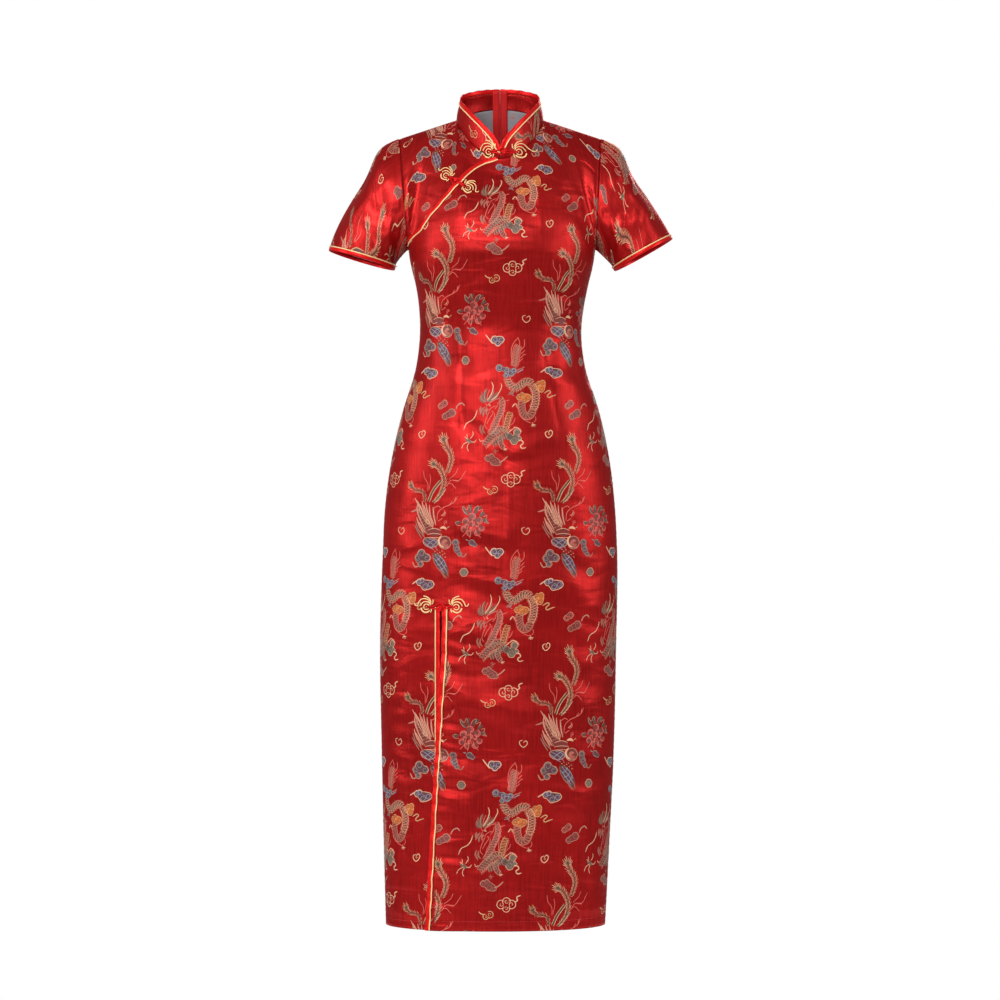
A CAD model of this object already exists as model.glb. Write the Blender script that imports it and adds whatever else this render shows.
# %% [markdown]
# # A short-sleeved cheongsam in dragon-and-phoenix brocade
#
# The dress is cloth worn on a figure that isn't there: front with its curved opening, an under
# piece, two back panels, two sleeves and a two-part collar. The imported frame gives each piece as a
# plain rigid wall. This lesson lays fine cloth on the same form, weaves its pattern on it, and
# trims it with bias binding, gold cord, knotted frogs and a zip.

# %% The frame
import math

import bmesh
import bpy
import numpy as np
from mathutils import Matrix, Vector
from mathutils.bvhtree import BVHTree


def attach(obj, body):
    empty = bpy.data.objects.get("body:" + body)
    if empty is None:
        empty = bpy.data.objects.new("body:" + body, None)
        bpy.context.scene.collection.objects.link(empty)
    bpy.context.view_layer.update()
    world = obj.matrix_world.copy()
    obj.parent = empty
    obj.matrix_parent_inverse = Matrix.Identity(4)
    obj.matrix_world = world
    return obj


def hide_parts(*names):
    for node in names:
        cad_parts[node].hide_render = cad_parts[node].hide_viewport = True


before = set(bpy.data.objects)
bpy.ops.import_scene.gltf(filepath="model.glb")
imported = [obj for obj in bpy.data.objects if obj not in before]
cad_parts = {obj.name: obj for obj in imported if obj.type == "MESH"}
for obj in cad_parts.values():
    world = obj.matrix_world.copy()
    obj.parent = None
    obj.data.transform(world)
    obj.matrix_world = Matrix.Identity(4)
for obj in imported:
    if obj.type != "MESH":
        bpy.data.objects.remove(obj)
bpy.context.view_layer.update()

MM = 0.001

# %% [markdown]
# ## The form under the cloth
#
# A dress has no shape of its own: it takes the body's, altered by its darts. It could be sculpted
# or simulated, but a table of level rings is exact and quick to change. Each ring gives a half
# width, how deep the front and back are, and how square it is. Above the armpit, curves carry the
# columns of the cloth on to the shoulder seams and the neckline. All sizes are in millimetres.

# %% Rings and edges of the form
HEM_Z, ARMPIT_Z, SLIT_TOP_Z, ZIP_END_Z = -1234, -184, -737, -560
# z, half width, front depth, back depth, centre x, front squareness
RINGS = (
    (-1234, 171, 90, 96, -7, 2.15),
    (-1117, 175.5, 93, 101, -5.5, 2.15),
    (-961, 181, 97, 107, -3.5, 2.15),
    (-805, 184, 100, 114, -3, 2.15),
    (-649, 182.5, 103, 123, 0, 2.15),
    (-587, 179.4, 104, 126, 0, 2.15),
    (-493, 166.5, 103, 119, 1, 2.15),
    (-431, 151.5, 98, 103, 1.5, 2.15),
    (-368, 132, 91, 85, 1, 2.15),
    (-312, 125.8, 90, 76, 1, 2.2),
    (-243, 133.5, 108, 82, 3, 2.4),
    (-205, 142.5, 117.5, 90.5, 3, 2.55),
    (-184, 145.5, 118, 92, 3, 2.6),
)
BACK_SQUARENESS = 2.25
SHOULDER_TIP, NECK_SIDE = (157, 4, -10.5), (68, 5, 19)
NECK_FRONT, NECK_BACK = (2, -63, -48), (0.5, 62, 43)
SHOULDER_SHARE = 0.27
# the curved opening, and the slit: z, side edge x, main edge x, main lift
OPENING = (
    (3, -48), (-21, -56), (-37, -65), (-58, -86), (-76, -105),
    (-91, -122), (-108, -141), (-121, -162),
)
SLIT = (
    (-737, -98.5, -81, 0), (-800, -98.5, -81.5, 3.2), (-940, -98.5, -90, 4.4),
    (-1080, -98.5, -98, 4.8), (-1234, -98.5, -106.5, 5),
)
SLIT_SPREAD = 60


def unit(vectors):
    vectors = np.asarray(vectors, float)
    return vectors / np.maximum(np.linalg.norm(vectors, axis=-1, keepdims=True), 1e-12)


def smooth(t):
    t = np.clip(t, 0, 1)
    return t * t * (3 - 2 * t)


def cubic(table, at):
    """Smooth curve through a table's rows at one or many values of its first column."""
    rows = np.array(sorted(table), float)
    keys = rows[:, 0]
    slopes = np.gradient(rows, keys, axis=0)
    at = np.clip(np.atleast_1d(np.asarray(at, float)), keys[0], keys[-1])
    i = np.clip(np.searchsorted(keys, at) - 1, 0, len(keys) - 2)
    step = (keys[i + 1] - keys[i])[:, None]
    t = (at[:, None] - keys[i][:, None]) / step
    return hermite(t, rows[i], step * slopes[i], rows[i + 1], step * slopes[i + 1])


def hermite(t, start, leave, end, arrive):
    return ((2 * t**3 - 3 * t**2 + 1) * start + (t**3 - 2 * t**2 + t) * leave
            + (-2 * t**3 + 3 * t**2) * end + (t**3 - t**2) * arrive)


def run_of(points):
    """Distance along a polyline at each of its points."""
    return np.concatenate([[0], np.cumsum(np.linalg.norm(np.diff(points, axis=0), axis=1))])


def along(points, shares):
    """Points at shares of the length of a polyline."""
    run = run_of(points)
    at = np.asarray(shares) * run[-1]
    return np.stack([np.interp(at, run, points[:, k]) for k in range(3)], axis=-1)


# %% [markdown]
# ## Folds, creases and darts
#
# Satin this crisp doesn't drape in big waves. It breaks into soft dents at the waist, drags from
# the bust and faint ridges where it was pressed. Each is one row of a table: two ends, how wide,
# and how high or deep. Its profile is a soft bell that fades at both ends, so that rows can
# cross. The broad ones are in the frame as well; the fine ones are only here.

# %% Tables of folds
def fold_rows(text):
    """Rows of a table: x and z of one end, of the other, then half width and height."""
    return [[float(v) for v in row.split()] for row in text.split(";")]


# FOLDS are pressed into the frame too, CREASES only here
FOLDS_FRONT = fold_rows("""
-62 -178 62 -180 11 1.6; -66 -75 -64 -160 12 1.2; 60 -75 62 -160 12 1.2; -100 -335 -52 -372 12 -2.2;
112 -333 60 -366 12 -2.2; -104 -366 -62 -396 12 1.6; 108 -366 70 -395 12 1.6; -64 -452 16 -516 15 -2.2;
-70 -610 20 -632 16 1.8; -78 -852 56 -925 20 2.2; -78 -1045 -20 -1075 16 1.8; 98 -690 150 -742 18 1.8;
40 -1000 120 -1060 20 1.6
""")
FOLDS_BACK = fold_rows("""
-96 -300 -40 -330 13 -2; 96 -305 44 -338 13 -2.2; -92 -345 -44 -366 12 1.6; 90 -350 40 -372 12 1.6;
-120 -640 -20 -690 18 -2; 110 -700 30 -760 18 2; -60 -900 50 -960 20 1.8; 70 -1080 -20 -1130 20 1.6
""")
CREASES_FRONT = fold_rows("""
-58 -314 -60 -465 3 -1; 66 -346 92 -466 3 -1; -128 -246 -88 -252 3.6 -1.4; 134 -240 96 -232 3.6 -1.4;
12 -215 18 -310 5 0.7; 13 -550 13 -730 3 0.7; -56 -356 -44 -370 8 -0.7; 76 -350 122 -366 6 -1.3;
-92 -340 -64 -350 5 0.9; -104 -376 -70 -384 5 -0.8; -60 -455 -36 -494 8 -1; -36 -494 16 -520 8 -0.9;
-66 -616 18 -634 7 1.2; -60 -640 10 -650 8 -0.8; -84 -856 10 -884 9 1; -70 -875 40 -905 8 -0.8;
-88 -920 -50 -936 6 0.7; -90 -966 -56 -974 6 -0.6; -95 -1046 -40 -1060 8 1; -98 -1120 -52 -1136 7 0.7;
-170 -930 -110 -940 7 1; -172 -1000 -108 -1016 7 1.1; -170 -1042 -110 -1060 7 0.9;
-168 -1130 -116 -1142 8 0.8; -86 -745 -60 -765 5 0.9; -100 -740 -128 -762 6 -0.9;
-90 -640 -91 -728 3 -0.7; 136 -600 158 -660 8 -0.9; 30 -740 130 -800 12 -1; 60 -1120 150 -1160 12 0.9;
-64 -100 -50 -165 5 0.8; 58 -100 66 -165 5 0.8; 100 -90 128 -150 8 -1.2; 88 -60 120 -110 7 0.8;
118 -150 136 -200 6 1; -20 -200 -26 -300 12 0.6; -110 -290 -60 -312 8 -0.9; 116 -288 70 -310 8 -0.9;
-150 -560 -110 -600 10 0.9; 20 -440 70 -470 9 -0.8; -80 -880 64 -900 13 2.6; -92 -862 -40 -880 7 1.3;
-50 -958 14 -1004 14 -2.4; -92 -984 -38 -1002 9 1.9; -92 -1024 -44 -1042 8 1.6; -92 -1092 82 -1104 18 2;
84 -1206 160 -1200 10 1.8; -168 -902 -140 -910 6 1.3; -172 -962 -130 -978 8 1.8;
-170 -1010 -136 -1018 6 1.3; -166 -1206 -112 -1212 8 1.2; -92 -958 -54 -972 7 -1.5;
-80 -192 76 -192 13 2; -80 -222 76 -220 18 -2.2; -60 -386 -18 -376 9 -0.9; -44 -394 50 -396 22 2;
-62 -436 -22 -488 13 -1.9; -22 -488 18 -524 12 -1.8; 10 -508 84 -474 7 1.3; 20 -524 90 -496 7 -1;
74 -362 122 -378 9 -2.4; 70 -388 124 -404 11 2; 86 -236 132 -246 7 1.8; 88 -258 130 -270 8 -1.8;
-122 -206 -96 -240 10 1.8; -120 -352 -72 -366 8 -1.6; -150 -470 -100 -500 14 1.6;
100 -470 150 -520 14 1.8; -60 -600 30 -618 9 1.6; -150 -640 -104 -668 12 1.6; 60 -640 150 -700 16 -2;
40 -820 150 -868 16 -1.8; 60 -940 160 -985 18 1.8; -70 -700 20 -740 14 -1.6; -78 -765 50 -800 13 1.7;
-80 -884 90 -912 26 3; 20 -1010 150 -1030 22 2.4; -90 -1140 40 -1164 20 2.2; 110 -860 168 -930 18 2;
-40 -1050 60 -1072 22 -2
""")
CREASES_BACK = fold_rows("""
-62 -330 -70 -470 2.2 -0.9; 62 -330 70 -470 2.2 -0.9; -104 -318 -70 -330 6 -1.3;
104 -322 66 -340 6 -1.3; -90 -352 -50 -360 5 0.9; 88 -360 48 -372 5 0.9; -30 -300 30 -306 8 1.2;
-34 -326 26 -334 7 -1; -140 -180 -96 -120 7 1; 140 -180 96 -126 7 1; -110 -60 -60 -90 9 -0.9;
110 -64 60 -96 9 -0.9; -150 -720 -80 -760 9 1; 150 -800 70 -840 9 -1; -120 -960 -60 -990 10 0.9;
130 -1000 60 -1040 10 0.9; -90 -392 -20 -420 12 2; 86 -400 24 -430 12 2; -60 -250 -14 -286 12 -1.8;
58 -256 12 -290 12 -1.8; -150 -560 -60 -600 14 1.8; 150 -600 70 -648 14 -1.8; -100 -820 20 -850 15 2;
-40 -1000 110 -960 16 -1.8; -140 -1080 -40 -1110 14 1.7; 30 -1180 140 -1160 14 1.5;
-110 -200 -70 -150 10 1.4; 110 -200 70 -150 10 1.4
""")


def relief(table, x, z):
    """Summed height of the folds of a table at x, z."""
    total = np.zeros(np.shape(x))
    for x0, z0, x1, z1, half, height in table:
        length = math.hypot(x1 - x0, z1 - z0)
        run = ((x1 - x0) / length, (z1 - z0) / length)
        s = (x - x0) * run[0] + (z - z0) * run[1]
        off = (z - z0) * run[0] - (x - x0) * run[1]
        ends = smooth((s + half) / (2 * half)) * smooth((length + half - s) / (2 * half))
        total += height * ends * np.exp(-((off / half) ** 2))
    return total


# %% The two halves of the body
class Half:
    """Front or back. Share 0 to 1 runs from the wearer's right; rise 0 is the hem, 1 armpit, 2 top."""

    def __init__(self, sign, broad, fine, neck, lean, pull):
        self.sign, self.broad, self.fine, self.pull = sign, broad, fine, np.array(pull)
        flip = np.array([-1, 1, 1])
        tip, side, middle = np.array(SHOULDER_TIP), np.array(NECK_SIDE), np.array(neck)
        lean, across = np.array(lean), np.array([112, 0, 0])
        t = np.linspace(0, 1, 24)[:, None]
        self.top = (
            np.array([tip * flip, side * flip]),
            np.concatenate([hermite(t, side * flip, lean, middle, across),
                            hermite(t, middle, across, side, -lean)[1:]]),
            np.array([side, tip]),
        )
        self.rings = {}

    def ring(self, z):
        if z not in self.rings:
            half, front, back, middle, square = cubic(RINGS, z)[0][1:]
            power = 2 / (square if self.sign < 0 else BACK_SQUARENESS)
            angle = np.linspace(-math.pi / 2, math.pi / 2, 160)
            c, s = np.cos(angle), np.sin(angle)
            x = middle + half * np.sign(s) * np.abs(s) ** power
            y = self.sign * (front if self.sign < 0 else back) * np.abs(c) ** power
            self.rings[z] = np.stack([x, y, np.full_like(x, z)], axis=1)
        return self.rings[z]

    def top_points(self, shares):
        out = np.empty((len(shares), 3))
        low, high = shares <= SHOULDER_SHARE, shares >= 1 - SHOULDER_SHARE
        neck = ~(low | high)
        out[low] = along(self.top[0], shares[low] / SHOULDER_SHARE)
        out[high] = along(self.top[2], (shares[high] - 1 + SHOULDER_SHARE) / SHOULDER_SHARE)
        out[neck] = along(self.top[1], (shares[neck] - SHOULDER_SHARE) / (1 - 2 * SHOULDER_SHARE))
        return out

    def plain(self, shares, rise):
        """One row of the form: points at many shares of one rise."""
        shares = np.clip(np.atleast_1d(np.asarray(shares, float)), 0, 1)
        if rise <= 1:
            return along(self.ring(HEM_Z + rise * (ARMPIT_Z - HEM_Z)), shares)
        edge = (1 - smooth(np.minimum(shares, 1 - shares) / 0.16))[:, None]
        middle = (1 - smooth(np.abs(shares - 0.5) / 0.24))[:, None]
        nought = np.zeros_like(edge)
        leave = np.hstack([nought, self.sign * 285 * edge, 150 - 95 * edge])
        over = np.array([0, -self.sign * 118, 62])
        up = np.array([0, -self.sign * self.pull[0], self.pull[1]])
        start = along(self.ring(ARMPIT_Z), shares)
        return hermite(rise - 1, start, leave, self.top_points(shares), over * (1 - middle) + up * middle)

    def facing(self, shares, rise, step=0.012):
        left, right = np.maximum(shares - step, 0), np.minimum(shares + step, 1)
        across = self.plain(right, rise) - self.plain(left, rise)
        up = self.plain(shares, min(rise + step, 2)) - self.plain(shares, max(rise - step, 0))
        return unit(np.cross(across, up) * -self.sign)

    def normals(self, shares, rise):
        """Facing out, and shared with the other half along the seams."""
        own = self.facing(shares, rise)
        side = np.minimum(shares, 1 - shares)
        joint = (side < 1e-6) | ((rise > 2 - 1e-6) & (side <= SHOULDER_SHARE + 1e-6))
        other = BACK if self is FRONT else FRONT
        return np.where(joint[:, None], unit(own + other.facing(shares, rise)), own)

    def points(self, shares, rise, lift=0, fine=True):
        base = self.plain(shares, rise)
        fade = smooth(np.minimum(shares, 1 - shares) / 0.06) * smooth((2 - rise) / 0.15)
        height = relief(self.broad, base[:, 0], base[:, 2])
        if fine:
            height = height + relief(self.fine, base[:, 0], base[:, 2])
        return base + self.facing(shares, rise) * (lift + fade * height)[:, None]


FRONT = Half(-1, FOLDS_FRONT, CREASES_FRONT, NECK_FRONT, (0, -62, -34), (34, 130))
BACK = Half(1, FOLDS_BACK, CREASES_BACK, NECK_BACK, (0, 62, 14), (22, 210))


def rise_at(z):
    return (np.asarray(z) - HEM_Z) / (ARMPIT_Z - HEM_Z)


# %% [markdown]
# ## Cloth coordinates
#
# Brocade is woven flat, and the pattern stays square to the cloth's own threads however the cloth
# then bends. So every piece needs flat coordinates in real metres: u across from the straight
# grain at its middle, v up along it. Blender could unwrap the mesh, but lengths measured along the
# rows and columns of the form give the same thing with no seams to place.

# %% Flat coordinates of the halves
class Grain:
    """u and v of any share and rise of a half, measured on a coarse grid of the form."""

    def __init__(self, half):
        self.shares, self.rises = np.linspace(0, 1, 81), np.linspace(0, 2, 161)
        grid = np.array([half.plain(self.shares, rise) for rise in self.rises])
        u = np.array([run_of(row) for row in grid])
        self.u = u - u[:, 40:41]
        steps = np.linalg.norm(np.diff(grid, axis=0), axis=2)
        steps[:80] = steps[:80, 40:41]
        self.v = np.concatenate([np.zeros((1, 81)), np.cumsum(steps, axis=0)], 0)

    def at(self, shares, rise):
        row = np.clip(rise / 2 * 160, 0, 159.999)
        r, t = int(row), row % 1
        u = self.u[r] * (1 - t) + self.u[r + 1] * t
        v = self.v[r] * (1 - t) + self.v[r + 1] * t
        return np.stack([np.interp(shares, self.shares, u), np.interp(shares, self.shares, v)], 1)


GRAIN = {FRONT: Grain(FRONT), BACK: Grain(BACK)}
print("front is", round(float(np.ptp(GRAIN[FRONT].u[80])), 1), "mm round at the armpit,",
      round(float(GRAIN[FRONT].v[-1, 40]), 1), "mm from hem to neck")

# %% [markdown]
# ## Materials: one helper, and the red satin ground
#
# The ground is a red polyester satin jacquard: warp threads float over several weft threads, so
# the cloth has a strong soft shine along the warp. Thread spacing is about 0.1 mm, too fine to
# show at arm's length, so the weave is drawn at 0.35 mm, where it still breaks up the highlight.
# The pattern reads the flat coordinates, so it bends with the cloth.

# %% Helpers for materials
def colour(code):
    """An sRGB hex value as linear light, opaque."""
    channels = [int(code[i: i + 2], 16) / 255 for i in (1, 3, 5)]
    return [c / 12.92 if c <= 0.04045 else ((c + 0.055) / 1.055) ** 2.4 for c in channels] + [1]


def fill(tree, node, inputs):
    """Links each input that is a socket, or a node and so its first output, and sets any other."""
    for key, value in inputs.items():
        if isinstance(value, bpy.types.Node):
            value = value.outputs[0]
        if isinstance(value, bpy.types.NodeSocket):
            tree.links.new(value, node.inputs[key])
        elif value is not None:
            node.inputs[key].default_value = value


def add(tree, kind, inputs=None, stops=(), **settings):
    """Adds a node with its settings and links; a colour ramp has stops, as place and colour."""
    made = tree.nodes.new(kind)
    for key, value in settings.items():
        setattr(made, key, value)
    fill(tree, made, inputs or {})
    if stops:
        band = made.color_ramp.elements
        while len(band) < len(stops):
            band.new(0.5)
        for element, (place, shade) in zip(band, stops):
            element.position = place
            element.color = colour(shade) if isinstance(shade, str) else shade
    return made


def start(name, **surface):
    """A new material with its Principled surface set; returns it, its tree and its surface."""
    made = bpy.data.materials.new(name)
    made.use_nodes = True
    tree = made.node_tree
    shader = tree.nodes["Principled BSDF"]
    fill(tree, shader, {key.replace("_", " "): value for key, value in surface.items()})
    return made, tree, shader


def face(tree, shader, dye, height, strength, distance, under=None):
    """Joins a material's colour and its fine relief to its surface; the distance is in metres."""
    bump = add(tree, "ShaderNodeBump", {
        "Height": height, "Strength": strength, "Distance": distance, "Normal": under})
    fill(tree, shader, {"Base Color": dye, "Normal": bump})


def flat_map(tree, scale=(1, 1, 1), turn=0):
    """The piece's own flat coordinates, in metres, scaled and turned."""
    uv = add(tree, "ShaderNodeUVMap", uv_map="flat")
    return add(tree, "ShaderNodeMapping", {"Vector": uv, "Scale": scale, "Rotation": (0, 0, turn)})


# %% Woven satin, face and wrong side
WEAVE = 0.00035  # metres between the drawn threads


def satin(name, deep, mid, light, thread=WEAVE, turn=0, strength=0.25, drift=0.003, **surface):
    """Satin weave: short floats stepping sideways, slubs along the warp, uneven dye and hand."""
    made, tree, shader = start(name, **surface)
    threads = flat_map(tree, (1 / thread, 1 / (8 * thread), 1), turn)
    floats = add(tree, "ShaderNodeTexBrick", {
        "Vector": threads, "Color1": (1, 1, 1, 1), "Color2": (0.8, 0.8, 0.8, 1),
        "Mortar": (0, 0, 0, 1), "Scale": 1, "Mortar Size": 0.06, "Mortar Smooth": 1,
        "Brick Width": 1, "Row Height": 1}, offset=0.375, offset_frequency=1)
    slubs = add(tree, "ShaderNodeTexNoise", {
        "Vector": flat_map(tree, (420, 22, 1), turn), "Scale": 1, "Detail": 3})
    cloud = add(tree, "ShaderNodeTexNoise", {
        "Vector": flat_map(tree, (9, 5, 1), turn), "Scale": 1, "Detail": 3})
    faint = add(tree, "ShaderNodeMath", {0: cloud, 1: 0.35, 2: 0.325}, operation="MULTIPLY_ADD")
    mixed = add(tree, "ShaderNodeMath", {0: slubs, 1: 0.5, 2: faint}, operation="MULTIPLY_ADD")
    dye = add(tree, "ShaderNodeValToRGB", {"Fac": mixed},
              stops=((0.55, deep), (0.75, mid), (0.95, light)))
    seen = add(tree, "ShaderNodeMix", {0: 0.12, 6: dye, 7: floats},
               data_type="RGBA", blend_type="MULTIPLY").outputs[2]
    height = add(tree, "ShaderNodeMath", {0: floats, 1: slubs}, operation="ADD")
    dents = add(tree, "ShaderNodeTexNoise", {
        "Vector": flat_map(tree, (13, 34, 1), turn + 0.3), "Scale": 1, "Detail": 1.5,
        "Distortion": 0.6})
    drape = add(tree, "ShaderNodeBump", {"Height": dents, "Distance": drift})
    face(tree, shader, seen, height, strength, 0.00012, drape)
    return made


GROUND = satin(
    "jacquard_satin_ground_woven_red", "#7A0D0E", "#A11415", "#B91A1B",
    Roughness=0.36, Metallic=0.58, Sheen_Weight=0.1, Sheen_Roughness=0.35,
    Sheen_Tint=colour("#FF3A42"), Specular_Tint=colour("#FFA098"),
    Anisotropic=0.4,
)
BIAS = satin(
    "plain_satin_bias_bright_red", "#BE1012", "#D41517", "#E31B1D", turn=0.785, strength=0.15,
    drift=0.001, Roughness=0.34, Metallic=0.35, Sheen_Weight=0.12, Sheen_Roughness=0.3,
    Sheen_Tint=colour("#FF5A60"), Specular_Tint=colour("#FF9890"),
)


def wrong_side():
    """The back of the brocade: grey-pink pattern wefts float loose over the red warp."""
    made, tree, shader = start("brocade_wrong_side_loose_wefts", Roughness=0.62, Sheen_Weight=0.3)
    lines = add(tree, "ShaderNodeTexWave", {
        "Vector": flat_map(tree), "Scale": 190, "Distortion": 1.6, "Detail": 2,
        "Detail Scale": 1.4}, bands_direction="Y")
    patches = add(tree, "ShaderNodeTexNoise", {
        "Vector": flat_map(tree, (38, 60, 1)), "Scale": 1, "Detail": 3})
    base = add(tree, "ShaderNodeValToRGB", {"Fac": patches}, stops=(
        (0.3, "#7C7A80"), (0.5, "#8E8B90"), (0.62, "#9A8488"), (0.72, "#A8585C")))
    seen = add(tree, "ShaderNodeMix", {0: 0.3, 6: base, 7: lines},
               data_type="RGBA", blend_type="MULTIPLY").outputs[2]
    face(tree, shader, seen, lines.outputs[1], 0.4, 0.0002)
    return made


WRONG_SIDE = wrong_side()
print("materials:", GROUND.name, BIAS.name, WRONG_SIDE.name)

# %% [markdown]
# ## Cutting cloth
#
# Every cloth piece is a thin shell: a grid of points with a second grid just inside it, joined
# round the border. Solidify would do it, but making both walls by hand lets the face, the wrong
# side and the cut edge each take their own finish, and keeps exact flat coordinates.

# %% A shell of cloth from a grid
FACE_WALL = 0.6  # millimetres; real brocade is about 0.4
DRESS = []  # each finished piece: object, slot of the record, the nodes it stands for


def dress(piece, slot, *nodes):
    DRESS.append((piece, slot, nodes))
    print(f"{piece.name}: {len(piece.data.polygons)} faces, {slot}")


def placed(name, data):
    """A new object, in the scene."""
    made = bpy.data.objects.new(name, data)
    bpy.context.scene.collection.objects.link(made)
    return made


def mesh_object(name, points, faces, flats, materials, slots=None, smooth_faces=True):
    """An object from points in millimetres, faces, and a flat coordinate for each face corner."""
    mesh = bpy.data.meshes.new(name)
    mesh.from_pydata((np.asarray(points) * MM).tolist(), [], [list(f) for f in faces])
    layer = mesh.uv_layers.new(name="flat")
    layer.data.foreach_set("uv", (np.asarray(flats) * MM).ravel())
    for material in materials:
        mesh.materials.append(material)
    if slots is not None:
        mesh.polygons.foreach_set("material_index", slots)
    mesh.polygons.foreach_set("use_smooth", np.broadcast_to(smooth_faces, len(mesh.polygons)))
    return placed(name, mesh)


def quads(r, c, next_c, width):
    """Faces of a grid of points, one for each row r and column c."""
    return np.stack([r * width + c, r * width + next_c, (r + 1) * width + next_c, (r + 1) * width + c], 1)


def cloth(name, outer, normals, flat, materials=(GROUND, WRONG_SIDE), wall=FACE_WALL,
          missing=None, wrap=False):
    """A closed shell between a grid and the same grid moved in."""
    rows, columns = outer.shape[:2]
    keep = np.ones((rows - 1, columns if wrap else columns - 1), bool)
    if missing is not None:
        keep &= ~missing
    r, c = np.nonzero(keep)
    ring = np.pad(keep, ((1, 1), (0, 0)))
    ring = np.pad(ring, ((0, 0), (1, 1)), mode="wrap" if wrap else "constant")

    def sheets(width, joined, under):
        """Faces over this grid width; the same steps serve points and flat coordinates."""
        near = quads(r, c, (c + 1) % columns if joined else c + 1, width)
        rims = []
        for dr, dc, i, j in ((-1, 0, 0, 1), (1, 0, 2, 3), (0, -1, 3, 0), (0, 1, 1, 2)):
            bare = ~ring[r + 1 + dr, c + 1 + dc]
            a, b = near[bare, i], near[bare, j]
            rims.append(np.stack([b, a, a + under, b + under], 1))
        return near, near[:, ::-1] + under, np.concatenate(rims)

    near, far, rim = sheets(columns, wrap, rows * columns)
    flat_faces = np.concatenate(sheets(flat.shape[1], False, 0))
    middle = len(r) // 2
    a, b, _, e = outer.reshape(-1, 3)[near[middle]]
    turned = np.cross(b - a, e - a) @ normals[r[middle], c[middle]] < 0
    faces = np.concatenate([near, far, rim])
    if turned:
        faces, flat_faces = faces[:, ::-1], flat_faces[:, ::-1]
    points = np.concatenate([outer.reshape(-1, 3), (outer - normals * wall).reshape(-1, 3)])
    slots = np.repeat([0, 1, 0], [len(near), len(far), len(rim)])
    return mesh_object(name, points, faces, flat.reshape(-1, 2)[flat_faces.ravel()], materials, slots,
        slots * 0 + (np.arange(len(faces)) < 2 * len(near)))


def trim(grid, sides, amount=0.06):
    """Draws the named borders of a grid in along the cloth, to leave a hair's gap."""
    grid = grid.copy()
    for side in sides:
        edge, inner = {"bottom": (grid[0], grid[1]), "top": (grid[-1], grid[-2]),
            "left": (grid[:, 0], grid[:, 1]), "right": (grid[:, -1], grid[:, -2])}[side]
        edge[...] += unit(inner - edge) * amount
    return grid


def seam_dip(distance, v, depth=0.55, pucker=0.22, pitch=11):
    """A sewn edge turns in, and gathers a little unevenly along its stitches."""
    wave = np.sin(v * 2 * math.pi / pitch + 1.7 * np.sin(v / 37))
    return -depth * np.exp(-((distance / 1.6) ** 2)) + pucker * wave * np.exp(-((distance / 8) ** 2))


# %% [markdown]
# ## Front, under piece and back
#
# The front is one panel from the wearer's left side to the curved opening, with the slit cut up
# from its hem. The small under piece carries on behind the opening to the right shoulder. Two back
# panels meet at the zip. All are cut from the same form, so their edges agree by construction.

# %% Rows and columns of the front
SIDE_COLUMNS, FRONT_COLUMNS, BACK_COLUMNS = 26, 104, 54
SLIT_ROWS = 112
SKIRT = [*rise_at(np.linspace(HEM_Z, SLIT_TOP_Z, SLIT_ROWS + 1)),
         *rise_at(np.linspace(SLIT_TOP_Z, ARMPIT_Z, 124))[1:]]
YOKE = [1 + i / 52 for i in range(1, 53)]


def find(x, z):
    """Share and rise of the place on the front that shows at x, z."""
    share, rise = 0.5 + x / 400, 1 + 0.9 * (z - ARMPIT_Z) / 140
    if z < ARMPIT_Z:
        rise = float(rise_at(z))
    for _ in range(30):
        here = FRONT.plain(share, rise)[0]
        by_share = (FRONT.plain(share + 1e-3, rise)[0] - here) / 1e-3
        by_rise = (FRONT.plain(share, rise + 1e-3)[0] - here) / 1e-3
        move = np.linalg.solve([[by_share[0], by_rise[0]], [by_share[2], by_rise[2]]],
            [x - here[0], z - here[2]])
        if abs(move[0]) + abs(move[1]) < 1e-6:
            break
        share = min(max(share + float(np.clip(move[0], -0.08, 0.08)), 0), 0.998)
        rise = min(max(rise + float(np.clip(move[1], -0.2, 0.2)), 0), 1.998)
    return share, rise


PLACES = sorted([(2, 0.5), (1, 0)] + [find(x, z)[::-1] for x, z in OPENING[1:]])


def opening_at(rise):
    return float(np.interp(rise, *zip(*PLACES)))


def front_row(rise):
    """Shares of the front's columns in one row; both slit edges are columns."""
    z = HEM_Z + min(rise, 1) * (ARMPIT_Z - HEM_Z)
    _, side_x, main_x, _ = cubic(SLIT, min(z, SLIT_TOP_Z))[0]
    ring = FRONT.ring(z)
    run = run_of(ring)
    first, second = np.interp((side_x, main_x), ring[:, 0], run / run[-1])
    pinned = np.concatenate([np.linspace(0, first, SIDE_COLUMNS + 1),
        np.linspace(second, 1, FRONT_COLUMNS - SIDE_COLUMNS)])
    if rise <= 1:
        return pinned
    opened = opening_at(rise)
    even = np.linspace(0, 1, FRONT_COLUMNS + 1)
    even = np.interp(even, [0, 0.875, 1], [opened, 1 - SHOULDER_SHARE, 1])
    mix = smooth(rise - 1)
    return (opened + (1 - opened) * front_row(1)) * (1 - mix) + even * mix


def lay_panel(half, rises, row_of, extra=None):
    """Points, normals and flat coordinates of a panel, row by row."""
    points, normals, flats = [], [], []
    grain = GRAIN[half]
    for rise in rises:
        shares = row_of(rise)
        flat = grain.at(shares, rise)
        ends = np.abs(np.interp([0, 1], grain.shares, grain.at(grain.shares, rise)[:, 0]))
        away = np.minimum(flat[:, 0] + ends[0], ends[1] - flat[:, 0])
        lift = seam_dip(away, flat[:, 1])
        if extra is not None:
            lift = lift + extra(rise, shares, flat)
        points.append(half.points(shares, rise, lift))
        normals.append(half.normals(shares, rise))
        flats.append(flat)
    return np.array(points), np.array(normals), np.array(flats)


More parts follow.
